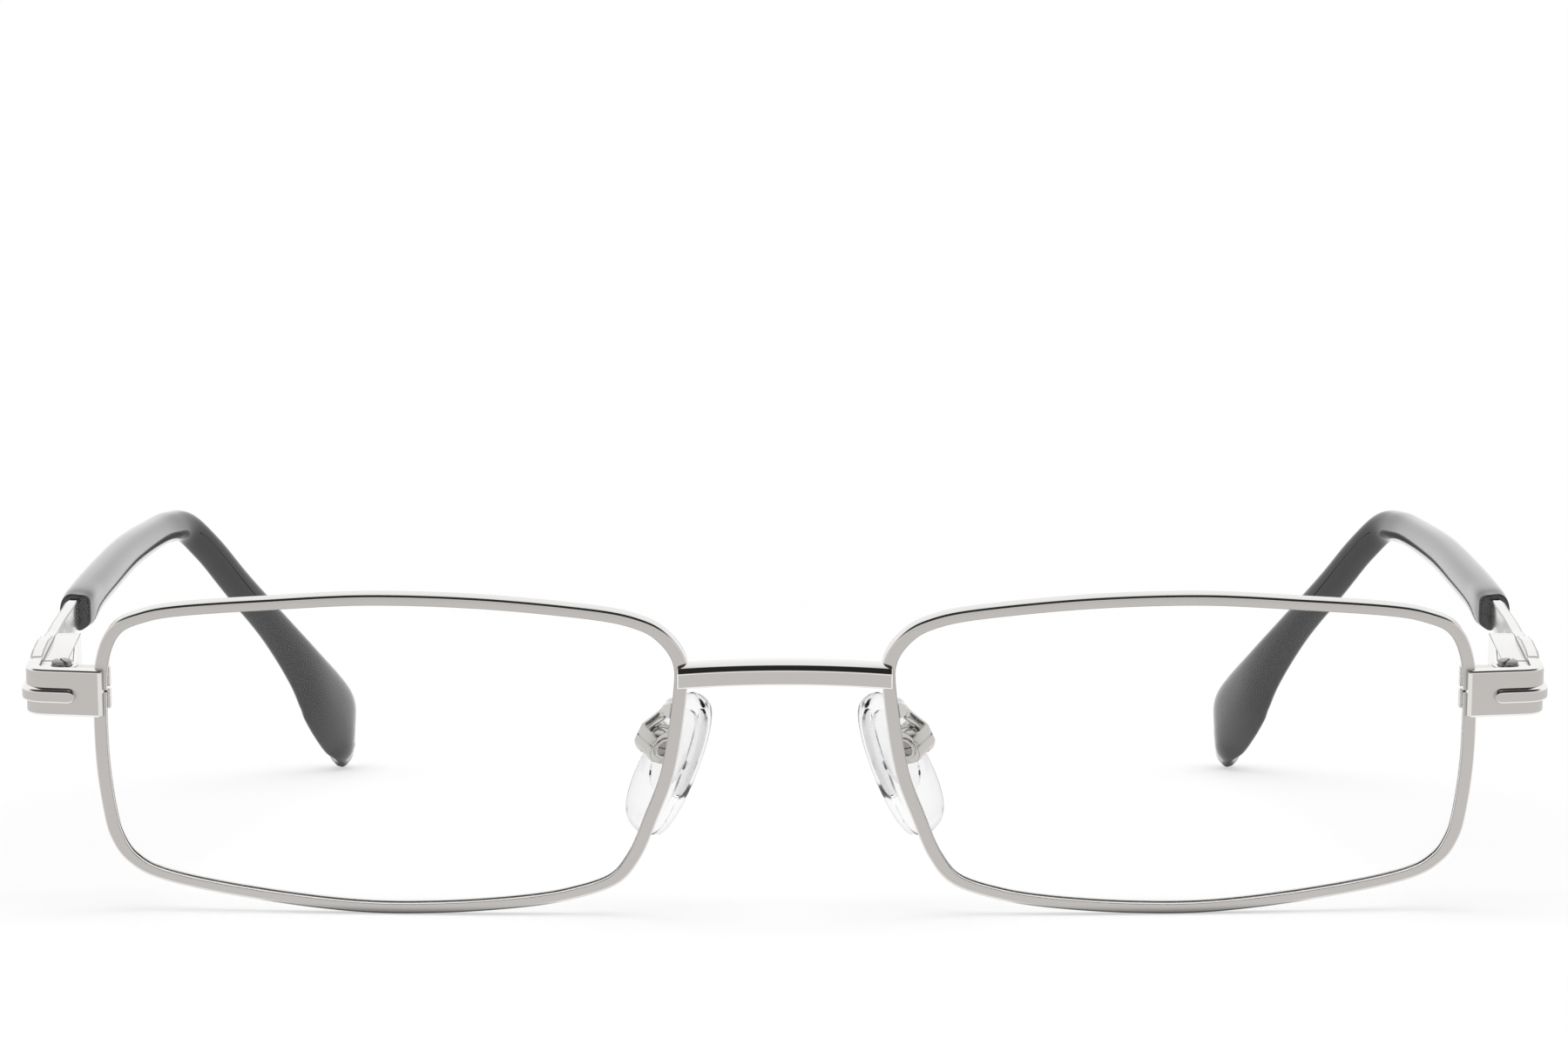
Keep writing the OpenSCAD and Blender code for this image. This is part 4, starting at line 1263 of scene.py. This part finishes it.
@dataclass
class NosePad(SubAssembly):
    """One nose pad with the wire that carries it."""

    length: float = 14.0
    width: float = 7.2
    thick: float = 2.5
    thick_power: float = 0.5
    width_power: float = 0.62
    flatness: float = 0.62
    taper: float = 0.18
    plate_x: float = -2.5
    insert_t: float = 0.5
    drop: float = 1.8
    rows: int = 40
    sides: int = 48
    wire_r: float = 0.5
    wire_sides: int = 20
    flare: float = 0.5
    flare_steps: float = 4.0
    root_share: float = 0.963
    root_up: float = 3.9
    fall: float = 3.6
    # Shares of the wire's run across, back and down; then of the box's size beyond its middle.
    wire: tuple[tuple[float, float, float], ...] = (
        (0, 0, 0), (0, 0.4, 0.07), (0.2, 0.81, -0.15), (0.6, 1, -0.4),
    )
    box_share: tuple[float, float, float] = (0.35, -0.2, 0.48)
    box: tuple[float, float, float] = (2.4, 2.9, 3.1)

    def cushion(self) -> Object:
        """Builds the soft drop-shaped pad.

        Returns:
            The pad.
        """
        rings = []
        for i in range(self.rows + 1):
            a = math.pi * i / self.rows
            s = -math.cos(a)
            thick = self.thick * max(0.12, math.sin(a) ** self.thick_power)
            wide = self.width * max(0.05, math.sin(a) ** self.width_power) * (1 - self.taper * s)
            rings.append([Vector((
                self.plate_x - self.insert_t / 2
                + thick * math.copysign(abs(math.cos(b)) ** self.flatness, math.cos(b)) / 2,
                wide * math.sin(b) / 2, s * self.length / 2 - self.drop)) for b in angles(self.sides)])
        name = self.side.value
        place = Placement(self.stance.pad, self.side, f"pad_{name}", (f"nose_pad_{name}",), "pad_soft")
        return Shape().loft(rings).build(f"pad_cushion_{name}", place, [PAD_SOFT], sharp=60)

    def arm(self) -> Object:
        """Builds the wire from the back of the rim to the pad box, with its solder.

        Returns:
            The pad arm.
        """
        s = self.stance.sizes
        x, z = s.eye_x - self.root_share * s.half_w + 0.5 * s.rim_w, s.half_h + self.root_up
        root = Vector((x, s.surface_y(x, z, s.rim_depth) - self.wire_r / 2, z))
        box = self.stance.front.inverted() @ self.stance.pad.translation
        run = Vector((box.x - root.x, box.y - root.y, self.fall))
        points = [root + Vector(share) * run for share in self.wire]
        points.append(box + Vector(self.box_share) * Vector(self.box))
        line = smooth(points, 10, closed=False)
        rings = []
        for i, p in enumerate(line):
            out, up = across(heading(line, i))
            radius = self.wire_r * (1 + self.flare * math.exp(-((i / self.flare_steps) ** 2)))
            rings.append([p + (out * math.cos(b) + up * math.sin(b)) * radius
                          for b in angles(self.wire_sides)])
        return Shape().loft(rings).build(f"pad_wire_{self.side.value}", self.on_front("pad_arm"),
                                         [WIRE_PLATE], sharp=60)


@dataclass
class Fastenings(SubAssembly):
    """The slotted hinge screw, and the raised ring round the pad screw."""

    shank_r: float = 0.6
    half_h: float = 1.75
    head_r: float = 0.92
    head_h: float = 0.5
    head_up: float = 0.12
    head_step: float = 0.02
    slot: float = 0.24
    slot_turn: float = 62.0
    # Shares of the head's radius and heights above its base, for each half beside the slot.
    half_rings: tuple[Pair, ...] = ((1.0, -0.02), (1.0, 0.24), (0.96, 0.30), (0.9, 0.32))
    # Radius and height of each ring round the pad ring's section.
    pad_rings: tuple[Pair, ...] = (
        (0.74, -0.02), (0.74, 0.13), (0.79, 0.18), (0.98, 0.18), (1.05, 0.10), (1.05, -0.02),
    )
    cheek_y: float = -1.45
    steps: int = 32

    def disc(self, radius: float, z: float) -> list[Vector]:
        """Ring of points of a radius at a height."""
        return [Vector((radius * math.cos(a), radius * math.sin(a), z)) for a in angles(self.steps)]

    def half_disc(self, radius: float, z: float, side: int) -> list[Vector]:
        """Ring of points round one half of the head's top, beside the slot.

        Args:
            radius: the head's radius there.
            z: height.
            side: 1 or -1, the side of the slot.

        Returns:
            The ring.
        """
        turn = Matrix.Rotation(math.radians(self.slot_turn), 3, "Z")
        low = math.asin(self.slot / 2 / radius)
        around = [low + (math.pi - 2 * low) * k / self.steps for k in range(self.steps + 1)]
        return [turn @ Vector((radius * math.cos(a), side * radius * math.sin(a), z)) for a in around]

    def hinge_screw(self) -> Object:
        """Builds the hinge screw with a slotted head that stands a little above the ear.

        Returns:
            The screw.
        """
        top, under = self.half_h + self.head_up, self.half_h - self.head_h
        sizes = ((self.shank_r, -self.half_h), (self.shank_r, under),
                 (self.head_r, under + self.head_step), (self.head_r, top))
        shape = Shape().loft([self.disc(r, z) for r, z in sizes])
        for side in (-1, 1):
            shape.loft([self.half_disc(self.head_r * share, top + z, side) for share, z in self.half_rings])
        name = self.side.value
        place = Placement(self.stance.hinge, self.side, "front", (f"hinge_screw_{name}",), "screw_steel")
        return shape.build(f"hinge_screw_slotted_{name}", place, [SCREW_STEEL], sharp=35)

    def pad_ring(self) -> Object:
        """Builds the raised ring round the pad screw's head.

        Returns:
            The ring.
        """
        turned = Matrix.Rotation(math.radians(90), 3, "X")
        rings = [[turned @ p + Vector((0, self.cheek_y, 0)) for p in self.disc(r, z)]
                 for r, z in self.pad_rings]
        place = Placement(self.stance.pad, self.side, "front", (), "front_metal")
        return Shape().loft(rings, closed=True).build(f"pad_ring_{self.side.value}", place, [BOX_PLATE],
                                                      sharp=50)


@dataclass
class SmallParts:
    """The turned and milled parts of the hinges, closing blocks and pad boxes, with eased edges."""

    weld: float = 2e-6
    flat: float = 1.5
    least: float = 38.0
    # Finish, slot in the record and width of the eased edges, in millimetres.
    finishes: dict[str, tuple[Finish, str, float]] = field(default_factory=lambda: {
        "closing_block_upper": (BLOCK_PLATE, "front_metal", 0.10),
        "closing_block_lower": (BLOCK_PLATE, "front_metal", 0.10),
        "hinge_ears": (BRIGHT_PLATE, "front_metal", 0.12),
        "pad_box": (BOX_PLATE, "front_metal", 0.55),
        "closing_screw": (SCREW_STEEL, "screw_steel", 0.06),
        "pad_screw": (SCREW_STEEL, "screw_steel", 0.07),
        "hinge_tongue": (SCREW_STEEL, "screw_steel", 0.08),
        "slide_nut": (SCREW_STEEL, "screw_steel", 0.08),
        "spring_housing": (BRIGHT_PLATE, "temple_metal", 0.25),
    })
    plain: dict[str, Finish] = field(default_factory=lambda: {
        "hinge_spring": SCREW_STEEL, "pad_insert": PAD_CORE,
    })

    def build(self) -> list[str]:
        """Dresses every small part on both sides.

        Returns:
            The names of what was made or dressed.
        """
        done = []
        for side in Side:
            for stem, (finish, slot, ease) in self.finishes.items():
                done.append(self.eased(f"{stem}_{side.value}", finish, slot, ease).name)
            for stem, finish in self.plain.items():
                node = frame["nodes"][f"{stem}_{side.value}"]
                node.data.materials.clear()
                node.data.materials.append(finish.material())
                done.append(node.name)
        return done

    def eased(self, node: str, finish: Finish, slot: str, ease: float) -> Object:
        """Copies a CAD node's shape and rounds its edges, with painted shade on the roundings where the
        finish is bright.

        Args:
            node: the CAD node.
            finish: its finish.
            slot: its material slot in the record.
            ease: width of the rounding, in millimetres.

        Returns:
            The new piece.
        """
        source = frame["nodes"][node]
        mesh = source.data.copy()
        mesh.name = f"{node}_eased"
        work = bmesh.new()
        work.from_mesh(mesh)
        bmesh.ops.remove_doubles(work, verts=work.verts, dist=self.weld)
        bmesh.ops.dissolve_limit(work, angle_limit=math.radians(self.flat), verts=work.verts,
                                 edges=work.edges)
        for face in work.faces:
            face.material_index = 0
        # Bright and box finishes get painted shade on their eased edges.
        materials = [finish, PAINTED_SHADE_EDGE_PLATE] if finish in (BRIGHT_PLATE, BOX_PLATE) else [finish]
        ease_edges(work, ease, self.least, len(materials) - 1)
        place = Placement(Matrix(), Side.LEFT, source["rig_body"], (node,), slot)
        return finished(mesh, work, place, materials, sharp=34)


@dataclass(frozen=True)
class Studio:
    """Pale floor, white background, soft light and the camera, in metres in the row frame."""

    eye: tuple[float, float, float] = (-0.00008, -0.4474, 0.0546)
    pitch_down: float = 2.8
    focal_px: float = 4890.0
    image_px: float = 1800.0
    sensor_mm: float = 36.0
    clip_start: float = 0.01
    floor_half: float = 3.0
    floor_below: float = 0.00002
    floor_tone: float = 0.9
    floor_rough: float = 0.8
    shade_fade: Pair = (0.12, 0.5)
    shade_kept: Pair = (0.55, 1.0)
    # Reach and power of the painted contact shade that the floor shows in reflections.
    contact_shade_reach: float = 0.0012
    contact_shade_power: float = 2.0
    light_level: float = 0.62
    gap_level: float = 0.03
    gap_low: Pair = (0.42, 0.58)
    gap_high: Pair = (0.93, 0.985)
    gap_before: Pair = (-0.12, 0.10)
    front_level: float = 0.70
    front_fade: Pair = (-0.5, 0.3)
    lamp_size: float = 1.2
    lamp_power: float = 9.0
    lamp_place: tuple[float, float, float] = (0.0, -0.1, 1.1)

    def camera(self) -> None:
        """Places the camera where the photograph was taken from."""
        data = bpy.data.cameras.new("camera")
        data.sensor_width = self.sensor_mm
        data.lens = self.focal_px / self.image_px * self.sensor_mm
        data.clip_start = self.clip_start
        made = in_scene("camera", data)
        made.location = self.eye
        made.rotation_euler = (math.radians(90 - self.pitch_down), 0, 0)
        bpy.context.scene.camera = made

    def floor(self) -> None:
        """Builds the floor: white where it is seen, darker by the object's shadow, and in reflections
        darkened near contact by painted shade.
        """
        low = CAD_BOX[0].z - self.floor_below
        h = self.floor_half
        mesh = bpy.data.meshes.new("floor")
        mesh.from_pydata([(-h, -h, low), (h, -h, low), (h, h, low), (-h, h, low)], [], [(0, 1, 2, 3)])
        material = bpy.data.materials.new("floor white")
        material.use_nodes = True
        graph = Graph(material.node_tree)
        shader = graph.fill(material.node_tree.nodes["Principled BSDF"], {
            "Base Color": (self.floor_tone, self.floor_tone, self.floor_tone, 1.0),
            "Roughness": self.floor_rough, "Specular IOR Level": 0.0})
        place = graph.add("TexCoord").outputs["Object"]
        away = graph.add("VectorMath", {0: place}, operation="LENGTH").outputs["Value"]
        kept = graph.ramp(away, self.shade_fade, self.shade_kept)
        # Ambient occlusion darkens the floor's glow in reflections near contact: painted shade.
        painted_contact_shade = graph.inverted(graph.math("POWER", graph.openness(self.contact_shade_reach), self.contact_shade_power))
        path = graph.add("LightPath").outputs
        through = path["Is Transmission Ray"]
        gloss = graph.math("MULTIPLY", path["Is Glossy Ray"], graph.inverted(through))
        level = graph.inverted(graph.math("MULTIPLY", gloss, painted_contact_shade))
        glow = graph.add("Emission", {"Color": WHITE, "Strength": level})
        seen = graph.math("MAXIMUM", path["Is Camera Ray"], through)
        share = graph.math("MAXIMUM", gloss, graph.math("MULTIPLY", seen, kept))
        graph.show("Material Output", share, shader, glow)
        mesh.materials.append(material)
        in_scene("floor", mesh)

    def world(self) -> None:
        """Lights the scene evenly, and shows gloss a white room with a dark gap between lamp and front."""
        world = bpy.data.worlds.new("studio")
        world.use_nodes = True
        bpy.context.scene.world = world
        graph = Graph(world.node_tree)
        lit = graph.fill(world.node_tree.nodes["Background"], {"Color": WHITE, "Strength": self.light_level})
        way = graph.add("SeparateXYZ", {0: graph.add("TexCoord").outputs["Generated"]}).outputs
        above = graph.ramp(way["Z"], self.gap_low, (0.0, 1.0))
        below = graph.ramp(way["Z"], self.gap_high, (1.0, 0.0))
        before = graph.ramp(way["Y"], self.gap_before, (1.0, 0.0))
        gap = graph.math("MULTIPLY", graph.math("MULTIPLY", above, below), before)
        gap = graph.inverted(graph.math("MULTIPLY", gap, 1.0 - self.gap_level))
        front = graph.ramp(way["Y"], self.front_fade, (self.front_level, 1.0))
        path = graph.add("LightPath").outputs
        camera, through = path["Is Camera Ray"], path["Is Transmission Ray"]
        level = graph.math("MAXIMUM", graph.math("MULTIPLY", gap, front), camera)
        shown = graph.add("Background", {"Color": WHITE, "Strength": level})
        seen = graph.math("MAXIMUM", camera, graph.math("MAXIMUM", path["Is Glossy Ray"], through))
        graph.show("World Output", seen, lit, shown)

    def lamp(self) -> None:
        """One broad lamp above, for a soft shadow under the glasses."""
        data = bpy.data.lights.new("softbox", "AREA")
        data.shape = "SQUARE"
        data.size = self.lamp_size
        data.energy = self.lamp_power
        made = in_scene("softbox", data)
        made.location = self.lamp_place
        made.visible_glossy = False

    def build(self) -> None:
        """Sets up floor, world, lamp, camera and the plain view."""
        self.floor()
        self.world()
        self.lamp()
        self.camera()
        bpy.context.scene.view_settings.view_transform = "Standard"


def main() -> None:
    """Builds the studio, then every sub-assembly in order."""
    logging.basicConfig(level=logging.INFO, format="%(name)s: %(message)s")
    Studio().build()
    stance = Stance.from_joint(FrontSizes())
    LOG.info("made %s", Bridge(stance).build().name)
    for side in Side:
        eye, temple = RimAndLens(stance, side), Temple(stance, side)
        pad, fast = NosePad(stance, side), Fastenings(stance, side)
        for made in (eye.rim(), eye.lens(), EndPiece(stance, side).build(), temple.arm(), temple.sleeve(),
                     pad.arm(), pad.cushion(), fast.hinge_screw(), fast.pad_ring()):
            LOG.info("made %s with %d faces", made.name, len(made.data.polygons))
    for name in SmallParts().build():
        LOG.info("dressed %s", name)


if __name__ == "__main__":
    main()
